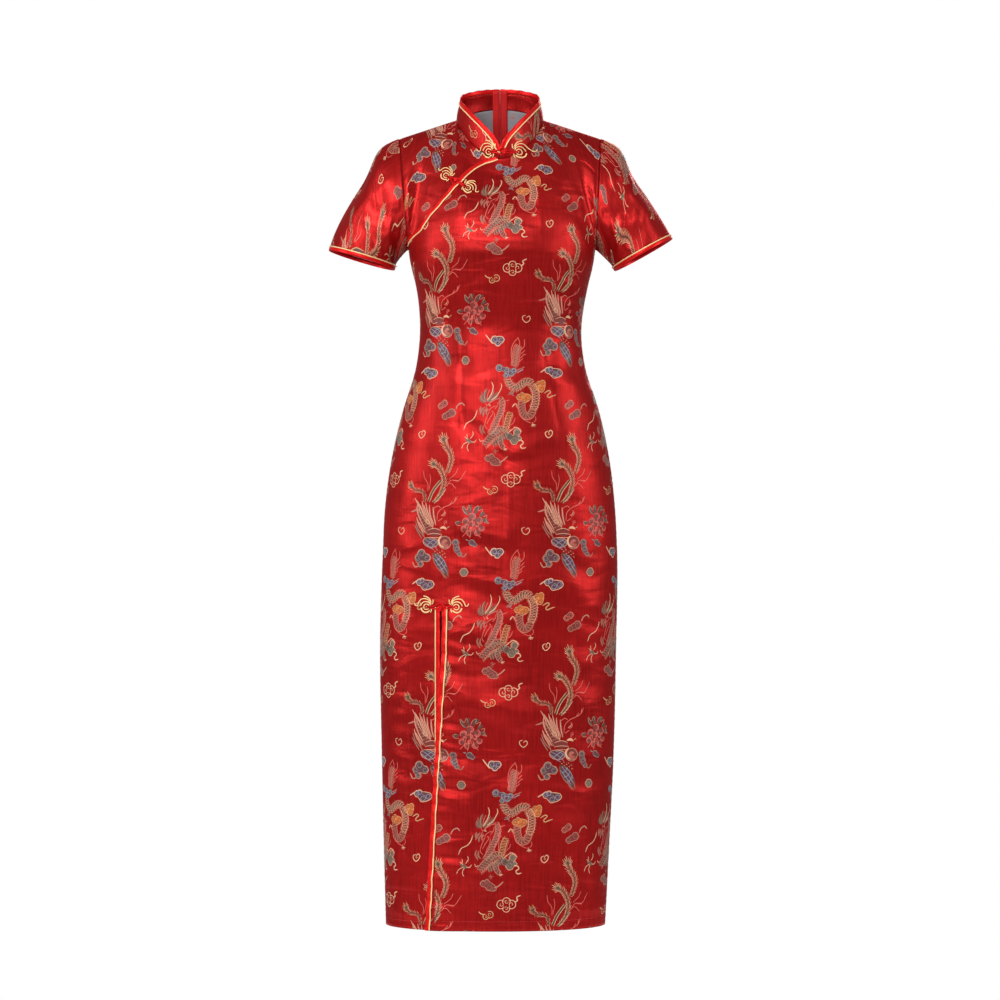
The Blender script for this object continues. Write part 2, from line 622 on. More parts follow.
# %% The front
def slit_stand(rise, shares, flat):
    """The lapped edge stands off, and its binding draws small puckers up beside it."""
    z = HEM_Z + rise * (ARMPIT_Z - HEM_Z)
    lift = np.zeros(len(shares))
    if rise <= 1 and z < SLIT_TOP_Z + 1e-6:
        _, side_x, main_x, stand = cubic(SLIT, z)[0]
        x = FRONT.plain(shares, rise)[:, 0]
        past = x[SIDE_COLUMNS + 1:] - main_x
        lift[SIDE_COLUMNS + 1:] = stand * (1 - smooth(past / SLIT_SPREAD))
        deep = smooth((SLIT_TOP_Z - z) / 60)
        wave = np.sin(z / 5.3 + 2 * np.sin(z / 41)) * 0.5 + 0.35 * np.sin(z / 8.9 + 1)
        lift[SIDE_COLUMNS + 1:] += deep * 0.8 * wave * np.exp(-past / 11)
        drags = np.sin((z + 0.22 * past) / 4.6 + 1.9 * np.sin(z / 31)) + 0.7 * np.sin(z / 8.3 + 2)
        lift[SIDE_COLUMNS + 1:] += deep * drags * np.exp(-((past / 34) ** 2))
        near = side_x - x[: SIDE_COLUMNS + 1]
        lift[: SIDE_COLUMNS + 1] += deep * 0.4 * np.sin(z / 7.1) * np.exp(-near / 9)
    if rise > 1:
        away = flat[:, 0] - flat[0, 0]
        lift += 0.35 * np.sin(flat[:, 1] / 3.3) * np.exp(-away / 7)
    return lift


front, front_normals, front_flat = lay_panel(FRONT, SKIRT + YOKE, front_row, slit_stand)
notch = np.zeros((len(SKIRT + YOKE) - 1, FRONT_COLUMNS), bool)
notch[:SLIT_ROWS, SIDE_COLUMNS] = True
front_cloth = cloth("front_cloth", trim(front, ("left", "right", "top")), front_normals, front_flat,
                    missing=notch)
dress(front_cloth, "brocade", "front_main")

# %% The under piece
UNDER_CUT, BACK_CUT = (38, 15), (48, 120)  # mm across and up the cloth from the front's place
UNDER_RISES = [float(rise_at(ARMPIT_Z - 14)), *np.linspace(1, 2, 44)]


def under_row(rise):
    end = min((opening_at(rise) if rise > 1 else 0) + 16 / 420, 0.53)
    shoulder = min(SHOULDER_SHARE, end * 0.6)
    return np.concatenate([np.linspace(0, shoulder, 14), np.linspace(shoulder, end, 23)[1:]])


def under_lift(rise, shares, flat):
    """It dips below the front where the front covers it."""
    under = smooth((shares - opening_at(rise) + 0.11) / 0.09)
    return -(2.4 + 4.4 * (1 - smooth(shares / 0.2))) * under


under, under_normals, under_flat = lay_panel(FRONT, UNDER_RISES, under_row, under_lift)
under_flat = under_flat + UNDER_CUT
under_cloth = cloth("under_cloth", trim(under, ("left", "top")), under_normals, under_flat)
dress(under_cloth, "brocade", "front_under")

# %% The two back panels
SIDES, PANELS = ("right", "left"), {}
for side, first, last in (("right", 0, 0.5), ("left", 0.5, 1)):
    def back_row(rise, first=first, last=last):
        even = np.linspace(first, last, BACK_COLUMNS + 1)
        bend = SHOULDER_SHARE if first == 0 else 1 - SHOULDER_SHARE
        place = 4 / 11 * BACK_COLUMNS if first == 0 else 7 / 11 * BACK_COLUMNS
        top = np.interp(np.arange(BACK_COLUMNS + 1), [0, place, BACK_COLUMNS], [first, bend, last])
        mix = smooth(rise - 1)
        return even * (1 - mix) + top * mix

    def zip_dip(rise, shares, flat):
        return seam_dip(np.abs(flat[:, 0]), flat[:, 1], 0.5, 0.3, 9)

    grid, normals, flat = lay_panel(BACK, SKIRT + YOKE, back_row, zip_dip)
    flat = flat + BACK_CUT
    made = cloth("back_cloth_" + side, trim(grid, ("left", "right", "top")), normals, flat)
    PANELS["back_" + side] = grid, normals, flat
    dress(made, "brocade", "back_" + side)

# %% [markdown]
# ## Sleeves
#
# A set-in sleeve is a tube eased into the armhole. Its cap stands a little proud of the shoulder,
# and the cloth drags from the underarm towards the cuff. Each column is one smooth curve from a
# point of the armhole to a point of the tilted cuff; a table of drags is pressed into it after.

# %% The sleeves
CUFFS = {
    "right": ((-214, 2, -194), (-51, 0, 15), 54),
    "left": ((221, 2, -186), (45, 0, 25), 54),
}
# round the sleeve in mm from the shoulder line (front negative), down it in mm; half width, height
SLEEVE_FOLDS = fold_rows("""
-150 10 -60 95 7 1.5; -130 8 -78 60 5 -1.3; -120 30 -96 105 6 1.2; -70 20 -40 120 9 1;
-30 14 -14 110 10 -0.8; 150 10 66 95 7 1.5; 130 8 84 60 5 -1.3; 116 30 92 105 6 1.2; 60 20 44 120 9 1;
20 12 10 100 10 -0.7; -100 50 -20 70 8 0.9; 104 54 24 74 8 0.9; -160 60 -130 110 6 1; 160 60 130 110 6 1
""")
SLEEVE_CUT = (20, 150)  # mm across and up the cloth to the armhole
for side, turn, share in (("right", -1, 0), ("left", 1, 1)):
    middle, corner, depth = (np.array(v) for v in CUFFS[side])
    rises = np.linspace(1, 2, 49)
    places = [(FRONT, rise) for rise in rises] + [(BACK, rise) for rise in rises[::-1][1:-1]]
    hole = np.array([body.plain(share, rise)[0] for body, rise in places])
    hole_normals = [body.normals(np.array([share]), rise)[0] for body, rise in places]
    count, half = len(hole), 48
    axis = unit(np.cross(corner, [0, 1, 0]))
    axis = axis if axis[2] < 0 else -axis
    angle = (math.pi * np.arange(count) / half)[:, None]
    top = 0.5 - 0.5 * np.cos(angle)
    end = middle - corner * np.cos(angle) + np.array([0, -1, 0]) * depth * np.sin(angle)
    leave = np.hstack([turn * (38 + 32 * top), top * 0, -18 - 20 * top])
    arrive = axis * np.linalg.norm(end - hole, axis=1, keepdims=True) * 0.9
    steps = np.linspace(0, 1, 41)
    grid = np.array([hermite(t, hole, leave, end, arrive) for t in steps])
    normals = unit(np.cross(np.roll(grid, -1, 1) - np.roll(grid, 1, 1), np.gradient(grid, axis=0)))
    if np.sum(normals * (grid - grid.mean(axis=1, keepdims=True))) < 0:
        normals = -normals
    closed = np.concatenate([grid, grid[:, :1]], axis=1)
    u = np.array([run_of(row) for row in closed])
    u = u - u[:, half: half + 1]
    down = np.array([run_of(column) for column in np.swapaxes(closed, 0, 1)]).T
    t = steps[:, None]
    drag = 1.6 * np.sin(5 * angle.T + 4.4 * t) * np.sin(math.pi * t) ** 0.8
    cap = 10.5 * top.T**2 * np.exp(-(((t - 0.26) / 0.16) ** 2))
    folds = 1.6 * relief(SLEEVE_FOLDS, u[:, :-1], down[:, :-1]) * smooth(down[:, :-1] / 14)
    folds = folds * smooth((1 - t) / 0.12)
    dip = seam_dip(down[:, :-1], u[:, :-1], 0.4, 0.3, 10)
    grid[1:] += normals[1:] * (drag + cap + folds + dip)[1:, :, None]
    normals[0] = unit(normals[0] + unit(hole_normals))
    flat = np.stack([u + SLEEVE_CUT[0] * turn, SLEEVE_CUT[1] - down], axis=2)
    made = cloth("sleeve_cloth_" + side, trim(grid, ("bottom",), 0.12), normals, flat, wrap=True)
    PANELS["sleeve_" + side] = grid, normals, flat
    dress(made, "brocade", "sleeve_" + side)

# %% [markdown]
# ## Collar
#
# The standing collar is a stiffened band in two parts that meet under the neck frog. Its base is
# the neckline itself; its top edge is a short table, since it leans in and rises to the nape.

# %% The collar
# share from the centre front to the centre back, x, y, z
COLLAR_TOP = (
    (0.00, 3.5, -67, -33), (0.10, 10, -65, -14), (0.22, 28, -55, 8),
    (0.38, 50, -30, 33), (0.52, 61, -2, 49), (0.66, 56, 28, 62),
    (0.82, 34, 48, 71), (1.00, 0.5, 56, 75),
)
BINDING_WIDTH, FRONT_PART, COLLAR_CUT = 7.4, 0.56, 335
COLLARS = {}
for side, turn, first_across in (("right", -1, 45), ("left", 1, 18)):
    s = np.linspace(0, 1, 65)
    reach = turn * (0.5 - SHOULDER_SHARE)
    base = np.where((s <= FRONT_PART)[:, None], FRONT.top_points(0.5 + reach * s / FRONT_PART),
        BACK.top_points(0.5 + reach * (1 - s) / (1 - FRONT_PART)))
    top = cubic(COLLAR_TOP, s)[:, 1:]
    top[:, 0] = np.where(s < 1, top[:, 0], 0.2) * turn
    top[0, 0] = 3.5 + turn * 1.2
    base[0, 0] += turn * 1.2
    up = unit(top - base)
    low, high = base - up * 0.1, top - up * (BINDING_WIDTH + 0.2)
    share = np.linspace(0, 1, 15)[:, None, None]
    normals = unit(np.cross(up, np.gradient(base, axis=0)) * turn)
    if np.sum(normals[:, :2] * base[:, :2]) < 0:
        normals = -normals
    grid = low + (high - low) * share + np.sin(math.pi * share) * normals
    tall = np.linalg.norm(high - low, axis=1)
    across = np.broadcast_to(run_of(base) * turn, (15, 65)) + first_across
    flat = np.stack([across, share[..., 0] * tall + COLLAR_CUT], 2)
    normals = np.broadcast_to(normals, grid.shape)
    made = cloth("collar_cloth_" + side, trim(grid, ("left", "right")), normals, flat, (GROUND, GROUND),
        wall=1)
    COLLARS[side], PANELS["collar_" + side] = (made, high, normals[0], up), (grid, normals, flat)
    dress(made, "brocade", "collar_" + side)
print("collar depth at the back:", round(float(tall[-1]), 1), "mm")

# %% [markdown]
# ## Drawing the brocade
#
# Dragon-and-phoenix is a traditional pattern: a dragon among clouds, and half a repeat away a
# phoenix with a peony, in coral, gold, olive and blue-grey wefts. An image texture would be blurred
# and flat, so each motif is drawn in threads: short strokes through a few points, by hand, with
# helpers for what has a rule, such as a feather's barbs or a dragon's scales. A stroke becomes a
# low ridge of floats, as bundled weft stands up on satin.

# %% Threads and strokes
THREADS = {
    "coral": "#DA5E50", "rose": "#B46256", "salmon": "#A25A47", "cream": "#E4AE89",
    "tan": "#BE836C", "gold": "#D09C6B", "olive": "#6B503D", "brown": "#573328",
    "rust": "#78211B", "orange": "#D27029", "blue": "#9297A8", "violet": "#5C2F3A",
    "grey": "#87847A",
}
drawn = []  # strokes of the motif in hand: thread, width, layer, points, and whether it's filled


def pts(text):
    return np.array([[float(v) for v in pair.split(",")] for pair in text.split()])


def flow(points, step):
    """A smooth line through a few points, resampled to even steps."""
    n = len(points)
    if n > 2:
        slopes = np.gradient(points, axis=0)
        fine = []
        for i in range(n - 1):
            t = np.linspace(0, 1, 8, endpoint=False)[:, None]
            fine.append(hermite(t, points[i], slopes[i], points[i + 1], slopes[i + 1]))
        points = np.concatenate([*fine, points[-1:]])
    run = run_of(points)
    at = np.linspace(0, run[-1], max(2, int(round(run[-1] / step)) + 1))
    return np.stack([np.interp(at, run, points[:, k]) for k in range(2)], 1), run[-1]


def line(thread, width, path, layer=2, full=False):
    """One stroke, or as many as a text has paths; bars part them."""
    for one in path.split("|") if isinstance(path, str) else [path]:
        drawn.append((thread, width, layer, pts(one) if isinstance(one, str) else one, full))


def leaf(thread, width, path, layer=1):
    line(thread, width, path, layer, True)


def disc(thread, x, y, r, layer=1):
    leaf(thread, 2 * r, np.array([[x - r, y], [x, y], [x + r, y]]), layer)


def curl(thread, x, y, r, start=0, turns=1.35, width=0.9):
    """A spiral that closes in on its middle."""
    a = np.linspace(0, turns * 2 * math.pi, 14) + start
    size = r * (1 - 0.62 * (a - start) / (turns * 2 * math.pi))
    line(thread, width, np.stack([x + size * np.cos(a), y + size * np.sin(a)], 1))


def cloud(fill, edge, lobes, tail="", start=2.6, dark="violet"):
    """Scrolls on one dark body: the edge thread shows only round the outside of the heap."""
    lobes = pts(lobes)  # x, y and radius of each
    if fill:
        middles = lobes[:, :2]
        body = 1.5 * sum(r for _, _, r in lobes) / len(lobes)
        leaf(edge, body + 1.6, middles, 0)
        leaf(dark, body, middles)
    for i, (x, y, r) in enumerate(lobes):
        if fill:
            disc(edge, x, y, r, 0)
            disc(dark, x, y, r - 0.75)
            curl(fill, x, y, r * 0.8, start + i * 1.9, 1.25, 0.85)
        else:
            away = math.atan2(y - lobes[0][1] + 0.1 * i, x - sum(b[0] for b in lobes) / len(lobes))
            a = np.linspace(away - 2.3, away + 2.3, 12)
            line(edge, 1.1, np.stack([x + r * 1.25 * np.cos(a), y + r * 1.25 * np.sin(a)], 1))
            curl(edge, x, y, r * 0.7, away + 2, 0.9, 0.8)
    if tail:
        line(edge, 1.7, tail)
        if fill:
            line(fill, 0.8, tail, 3)


def feather(thread, eye, path, barb, core="cream"):
    """A tail feather: stem, barbs swept towards the tip on both sides, and a rayed eye."""
    points, _ = flow(pts(path), 1.45)
    line("brown", 1.5, points)
    ahead = unit(np.gradient(points, axis=0))
    for i in range(2, len(points)):
        back, side = -ahead[i], np.array([-ahead[i][1], ahead[i][0]])
        size = barb * (1.15 - 0.45 * i / len(points)) * (1 if i % 2 else 0.65)
        for way in (-1, 1):
            bend = points[i] + back * size * 0.3 + side * way * size * 0.5
            tip = points[i] + back * size * 1.05 + side * way * size * 0.85
            line((thread, core, "tan")[(i + way) % 3], 0.7, np.array([points[i], bend, tip]))
    up = -ahead[0]
    leaf(eye, 1.1 * barb, np.array([points[2], points[0], points[0] + up * barb * 0.9]))
    leaf("brown", 0.45 * barb, np.array([points[1], points[0] + up * barb * 0.5]), 3)
    for i, a in enumerate(np.linspace(-2.3, 2.3, 11)):
        way = up * math.cos(a) + np.array([-up[1], up[0]]) * math.sin(a)
        root = points[0] + way * barb * 0.45
        reach = barb * (1 if i % 2 else 0.75)
        line(core if i % 3 else thread, 0.85, np.array([
            root, root + way * reach * 0.6 + up * reach * 0.15,
            root + way * reach * 0.8 + up * reach * 0.55]))


def scales(edge, net, path, half, fill=None, spines=None, pitch=4):
    """A scaled band: two edges, a net of crossing threads between them, and spines along one."""
    points, _ = flow(pts(path), pitch)
    ahead = unit(np.gradient(points, axis=0))
    side = np.stack([-ahead[:, 1], ahead[:, 0]], 1)
    n = len(points)
    taper = half * np.minimum(1, 0.55 + 0.9 * np.sin(np.pi * np.linspace(0.08, 0.92, n)))[:, None]
    if fill:
        leaf(fill, half, points, 0)
    left, right = points + side * taper, points - side * taper
    line(edge, 0.85, left)
    line(edge, 0.85, right)
    for i in range(n - 1):
        low, high = (points[i] * 2 + points[i + 1]) / 3, (points[i] + points[i + 1] * 2) / 3
        line(net, 0.7, np.array([left[i], low, right[i + 1]]))
        line(edge, 0.6, np.array([right[i], high, left[i + 1]]))
        line(net, 0.6, np.array([(left[i] + low) / 2, (left[i + 1] + high) / 2]))
    for i in range(0, 2 * n - 2) if spines else ():
        at, share = i // 2, i % 2 / 2
        for rim, way in ((left, spines), (right, -spines)):
            root = rim[at] * (1 - share) + rim[at + 1] * share
            out = side[at] * way - ahead[at] * 0.6
            if way > 0 or share:
                line("cream" if way > 0 else edge, 0.75, np.array([root, root + out * 2.3]))


def claw(thread, x, y, angle, size=4):
    for spread in (-0.9, -0.3, 0.35, 1, 2.9):
        a = math.radians(angle) + spread
        reach = size * (0.6 if spread > 2 else 1)
        tip = np.array([x + reach * math.cos(a), y + reach * math.sin(a)])
        bend = np.array([x + 0.6 * reach * math.cos(a + 0.25), y + 0.6 * reach * math.sin(a + 0.25)])
        line(thread, 0.9, np.array([[x, y], bend, tip]))


# %% A motif as a mesh of low ridges
LAYER = 0.07  # millimetres between layers of thread
RIDGE = (0.12, 0.05)  # how far the middle stands over the edges, of a line and of a filled shape


def weave(name, centre, scale):
    """Turns the strokes drawn so far into one flat mesh, in metres, with a colour per thread."""
    points, faces, shades = [], [], []
    for thread, width, layer, path, full in drawn:
        path = (path - centre) * [scale, -scale]
        spine, length = flow(path, 2.5 if full else 2)
        if length < 0.4:
            continue
        ahead = unit(np.gradient(spine, axis=0))
        side = np.stack([-ahead[:, 1], ahead[:, 0]], 1)
        t = np.linspace(0, 1, len(spine))
        if full:
            half = width * scale / 2 * np.sqrt(np.clip(1 - (2 * t - 1) ** 2, 0.02, 1))
        else:
            half = width / 2 * np.minimum(1, 0.45 + 5 * np.minimum(t, 1 - t))
        across = 1 if half.max() < 0.5 else 2 if half.max() < 2.4 else 4
        start_at = len(points)
        for k in range(across + 1):
            place = 2 * k / across - 1
            height = LAYER * (layer + 1) + RIDGE[full] * (1 - place**2)
            for p, s, h in zip(spine, side, half):
                points.append([*(p + s * h * place), height])
        n = len(spine)
        code = colour(THREADS[thread])
        shades += [code] * (n * (across + 1))
        for k in range(across):
            for i in range(n - 1):
                a = start_at + k * n + i
                faces.append((a, a + n, a + n + 1, a + 1)[::-1])
    mesh = bpy.data.meshes.new(name)
    mesh.from_pydata((np.array(points) * MM).tolist(), [], faces)
    made = bpy.data.objects.new(name, mesh)
    layer = mesh.color_attributes.new("thread", "FLOAT_COLOR", "POINT")
    layer.data.foreach_set("color", np.array(shades).ravel())
    mesh.polygons.foreach_set("use_smooth", [True] * len(faces))
    print(name, len(drawn), "strokes,", 2 * len(faces), "triangles")
    drawn.clear()
    return made


# %% [markdown]
# ## The dragon
#
# It winds in an S: maned head at the upper left with two long horns, scaled neck down to a dark
# mass of coils, a leg and claws on each side, and the arched back with its spines at the upper
# right. A blue cloud sits above it with the netted tail rising out, orange clouds trail to the
# right, and a grey one curls below.

# %% The dragon's strokes
leaf("olive", 2.8,
    "29,64 27,56 30,45|29,64 24,58 23,50|30,65 36,55 40,46|31,65 40,57 45,50|28,66 22,63 20,57|"
    "33,66 42,60 47,53")
line("tan", 0.7,
    "28,63 26,55 28,47|31,64 37,56 41,49|29,65 23,61 21,55|34,65 42,59 46,55|30,63 31,55 34,47")
line("cream", 1.3,
    "30,63 35,56 38,49 39,42 37,36|36,62 43,57 48,50 51,43 50,38|16,76 14,83 9,90 0,95 -4,104")
line("coral", 1,
    "28,66 30,70 34,66 40,62 46,60 49,57|30,70 28,77 33,76 38,72 44,70|34,77 31,84 28,92 27,99 31,104|"
    "36,77 39,80 34,88 30,96|41,80 40,88 36,97 34,106|52,66 54,72 53,88 53,101|46,64 45,70 41,75|"
    "50,104 47,96 49,86|57,70 52,74 53,80 57,76|62,62 56,64 54,70")
leaf("salmon", 2.6,
    "27,72 23,76 20,83|28,75 25,80 25,86|22,71 20,76 21,81|31,73 29,79 30,84|22,97 20,103 24,112|"
    "25,98 24,105 28,110")
line("cream", 1, "19,117 21,121 24,119")
leaf("olive", 5, "-1,117 4,120 9,123")
line("cream", 1,
    "4,121 -3,125 -6,131|5,122 2,129 4,135|7,121 12,122 15,118|3,118 -2,114|6,117 10,111 9,106|"
    "2,116 1,110")
curl("cream", 34, 69, 1.8, 0.5, 1)
scales("tan", "rose", "50,59 52,68 50,78 45,90 40,101 33,111", 3.8, fill="rust", spines=-1)
scales("tan", "salmon", "26,127 33,118 41,111 51,108", 4.6, fill="brown", spines=1)
scales("olive", "tan", "38,126 47,119 55,113 60,106", 4.4, fill="brown", spines=-1)
scales("tan", "brown", "50,114 50,124 55,131", 3.2, fill="rust")
scales("tan", "olive", "39,111 46,104 53,103 58,107", 3.6, fill="brown")
scales("gold", "orange", "55,107 58,98 60,88 64,79", 3.6, fill="rust", spines=1)
scales("tan", "cream", "59,31 63,40 70,45 77,41 83,36 90,35 96,38", 4.4, fill="brown", spines=1)
scales("cream", "tan", "94,40 99,48 100,57 99,67 95,76", 4.6, fill="rust", spines=1)
scales("tan", "salmon", "97,74 92,83 86,85 81,80 79,70 80,62", 5, fill="rust", spines=-1)
line("coral", 1,
    "70,70 74,74 77,84 83,90 91,94 96,95|66,72 70,67 73,72|97,94 100,90 99,85|64,98 68,94 70,88|"
    "60,104 66,104 70,99")
line("cream", 1.6, "66,72 70,67 73,71")
claw("cream", 96, 96, 70, 4.6)
claw("grey", 66, 54, 230, 6)
claw("salmon", 44, 135, 160, 5.2)
claw("cream", 56, 131, 60, 3.6)
cloud("rust", "gold", "76,58,4.6 83,62,4.4 89,58,4.6 80,54,3.6", dark="orange")
cloud("rust", "gold", "100,43,4.6 108,46,5 110,37,4.2 104,38,3.8",
      "112,52 119,48 122,50 117,55 119,58 124,56 130,54", dark="orange")
cloud("blue", "grey", "48,16,5.4 58,19,4.6 64,23,5.8 69,20,4.4 57,27,4")
line("rose", 1.6, "71,22 75,18 79,17 84,14")
line("blue", 1.2, "73,23 78,20 82,18")
scales("coral", "tan", "69,14 71,6 72,-2 73,-10 76,-17", 5.4, fill="rust", pitch=2.2)
line("coral", 1.1,
    "67,9 65,-2 66,-14 70,-22 76,-28|77,-15 77,-22 74,-28|79,-10 84,-16 84,-25|78,2 84,-4 86,-3|"
    "79,-4 85,-10|76,7 82,2")
cloud("grey", "cream", "73,108,5.4 69,120,6 76,117,3.8",
      "75,119 80,120 82,124 78,127 80,131 86,130", 0.6, "olive")
cloud("olive", "grey", "62,114,5.2 66,117,4.6", dark="brown")
line("cream", 1.3, "60,109 66,104 72,101 79,107")
line("coral", 1.1, "73,101 77,103 80,108")
cloud("salmon", "tan", "32,145,5 40,150,5.4 47,152,4 37,142,4",
      "48,151 52,149 55,147 60,142", dark="rust")
cloud("coral", "tan", "148,70,4.6 154,66,5.2", dark="rust")
cloud("salmon", "tan", "155,85,5 165,80,6.2", "171,75 174,69 180,66 184,70", dark="rust")
line("cream", 1.4, "118,106 114,108 114,112 118,116 123,112 124,107 121,105 118,109")
curl("gold", 119, 110, 1.8, 0, 1)
DRAGON = weave("dragon_motif", (62, 76), 1.074)

# %% [markdown]
# ## The phoenix, the peony and the small clouds
#
# Head down and tail up: three eye feathers and two gold plumes above a fan of rose quills, then
# the round breast and two wings netted in blue. A peony, clouds, a pearl and small curls fill the
# field between the repeats.

# %% The phoenix's strokes
feather("gold", "olive", "40,6 42,12 46,18 48,24 47,31 44,39", 4.4)
feather("gold", "olive", "30,30 35,33 39,39 41,46 40,53 37,60 32,67", 4)
feather("salmon", "brown", "5,51 9,55 15,56 20,59 21,67", 3.4, "gold")
for path in ("25,67 30,56 38,46", "30,68 37,61 42,54"):
    leaf("brown", 3.4, path)
    line("cream", 0.9, pts(path) + [1, 0.5])
    line("gold", 0.9, pts(path) - [1.2, 0.6])
line("coral", 0.9,
    "24,57 24,49 20,43 19,36|25,56 27,46 26,40|46,45 51,41 53,39 55,34|44,52 48,46 56,46 60,41 63,36|"
    "43,51 48,49 53,54|50,46 56,47")
QUILLS = (
    "10,63 14,70 18,80 25,90|13,66 17,73 21,82 27,91|5,77 9,76 14,75 19,82|13,69 13,76 16,84 22,94|"
    "12,82 15,90 20,98|11,86 14,94 20,101|10,90 14,97 18,103|16,92 19,98 22,105|"
    "18,66 20,74 24,84 29,92|22,67 24,76 28,86 30,94|26,70 27,80 31,90|30,72 31,82 33,90|"
    "16,70 20,78 24,86|20,70 23,78 27,88|14,86 18,92 22,98|18,88 21,94 25,100"
)
for path in QUILLS.split("|"):
    leaf("rose" if len(path) % 2 else "rust", 1.9, path, 0)
    line("cream" if len(path) % 3 else "tan", 0.7, path)
leaf("rust", 9, "16,74 21,86 27,98", 0)
curl("cream", 24, 86, 2.6, 0, 1.1)
for row in range(6):
    for column in range(4):
        x, y = 14 + 3.1 * column + 1.2 * row, 78 + 3 * row - 0.8 * column
        line("tan", 0.7, np.array([[x - 1.2, y + 0.6], [x, y - 0.7], [x + 1.2, y + 0.6]]))
line("coral", 1.2,
    "34,86 35,78 40,73 47,70 52,67 55,61|30,74 35,71 38,73|47,70 50,66|38,80 41,81 43,78 41,75|"
    "35,86 40,83|52,67 53,62")
curl("coral", 43, 87, 2, 2, 1.1)
line("cream", 1, "39,80 41,79 42,77")
leaf("rust", 8, "26,98 31,97 38,97")
line("cream", 0.8, "24,95 31,93 38,95|24,99 31,98 39,99|25,102 31,102 38,102")
leaf("cream", 2.4, "37,93 41,92 44,94")
line("gold", 0.9, "44,93 47,91")
line("coral", 0.9, "41,91 42,88 44,87")
disc("tan", 42, 107, 6.6, 0)
disc("rust", 42, 107, 6)
for i in range(4):
    curl("coral" if i % 2 else "tan", 43, 107, 5.6 - 1.3 * i, 0.6, 0.8, 0.9)
leaf("cream", 2, "39,100 36,104 37,109 41,112", 2)
leaf("tan", 10, "19,105 28,107 36,107", 0)
leaf("violet", 8.4, "20,105 28,107 35,107")
line("blue", 0.8,
    "20,106 26,111 31,114|22,104 30,109 34,113|25,103 31,105 36,109|23,110 28,106 33,103|"
    "27,113 31,109 35,105")
for row in range(4):
    for column in range(5):
        x, y = 31 + 2.5 * column + row * 0.4, 113.5 + 1.8 * row + column * 0.5
        line("cream" if (row + column) % 2 else "brown", 1.5, np.array([[x, y], [x + 1.3, y + 0.5]]))
leaf("brown", 10, "31,117 37,126 45,139", 0)
leaf("violet", 8, "32,118 37,126 44,137")
line("blue", 0.9,
    "35,119 41,124 44,131|33,120 39,127 44,135|31,122 37,130 42,137|38,121 35,124 32,124|"
    "41,124 38,128 34,129|43,128 41,132 37,134")
line("salmon", 1.2,
    "30,118 31,125 35,132 41,138|38,133 41,138 45,142|42,131 45,136 46,141|36,132 40,138 43,142")
cloud("grey", "tan", "18,118,4.6 24,122,4.2 14,122,3.6 17,128,3.4", "15,130 11,131 8,126")
cloud("grey", "salmon", "53,107,3.8 54,113,3.4 57,118,2.8", "58,119 61,121 64,117")
cloud("blue", "cream", "16,146,3.6 22,150,4.2 28,148,4 19,145,3.4", "14,144 11,146 8,148")
# the peony: petals in outline, serrated leaves behind
for x, y, r, a in pts(
        "64,86,4.2,2.6 70,82,4.4,3.6 76,86,4.2,4.8 62,93,3.8,1.8 78,93,3.6,5.6 67,97,3.8,1.2 "
        "74,97,3.8,0.2 70,89,3.4,3.4 69,93,2.2,1 74,90,2.4,5.2 65,90,2.4,2"):
    disc("rust", x, y, r * 0.9, 0)
    curl("coral", x, y, r, a, 0.75, 1.2)
    curl("coral", x, y, r * 0.55, a + 0.8, 0.6, 0.9)
line("coral", 1, "66,90 64,96 60,101|69,92 68,98 67,103|72,92 74,98 78,102|70,84 70,90 71,96")
leaf("brown", 3.4,
    "66,80 62,76 61,71|69,79 67,74 69,70|73,79 74,74 79,72|77,82 80,78 82,79|79,87 82,84 85,88|"
    "59,88 56,87 54,90", 0)
line("tan", 0.75,
    "65,80 61,76 60,71 64,75 66,70 68,75|70,78 72,73 76,71 75,76 80,74 78,79|"
    "80,82 84,80 83,85 86,88 81,87|59,90 55,90 53,87 57,86")
cloud("violet", "grey", "69,107,3.2 72,109,2.4", "66,105 63,104")
disc("tan", 61.5, 136, 4.4, 0)
disc("olive", 61.5, 136, 3.5)
curl("grey", 61.5, 136, 2.4, 0.4, 1.2, 0.8)
# the small clouds and curls of the field
cloud(None, "cream", "102,45,3.4 107,42,3 112,45,3.4 107,49,2.8", "115,43 118,41 117,38 121,36")
cloud(None, "gold", "91,55,2.6 87,57,2.2", "85,55 82,54 80,52")
cloud("blue", "cream", "91,116,4 97,116,3.6 94,119,3.6", "89,120 85,115 82,111")
line("cream", 1.1, "121,92 118,93 118.5,96.5 122,99 125.5,96 124.5,92.5 121.5,94.5")
PHOENIX = weave("phoenix_motif", (30, 75), 1.56)

# %% [markdown]
# ## Weaving the motifs into each panel
#
# A repeat laid on curved cloth is a job for Geometry Nodes: two grids of points in the cloth's
# flat coordinates, a motif on each point, and then Sample UV Surface finds where on the worn cloth
# each flat place lies. What falls off the panel's edge is deleted, as scissors would.

# %% The node tree
REPEAT, FIRST_DRAGON, FIRST_PHOENIX = (200, 325), (13, 473), (-104, 645)


def new_tree(name, **inputs):
    """A geometry tree with named inputs; returns it and the sockets that bring them in."""
    tree = bpy.data.node_groups.new(name, "GeometryNodeTree")
    for label, kind in inputs.items():
        label = label.replace("_", " ")
        tree.interface.new_socket(label, in_out="INPUT", socket_type="NodeSocket" + kind)
    tree.interface.new_socket("Geometry", in_out="OUTPUT", socket_type="NodeSocketGeometry")
    return tree, add(tree, "NodeGroupInput").outputs


def end_tree(tree, geometry, finish):
    """Makes the copies real, gives them their material and sends them out."""
    whole = add(tree, "GeometryNodeRealizeInstances", {"Geometry": geometry})
    dressed = add(tree, "GeometryNodeSetMaterial", {"Geometry": whole, "Material": finish})
    add(tree, "NodeGroupOutput", {0: dressed})
    return tree


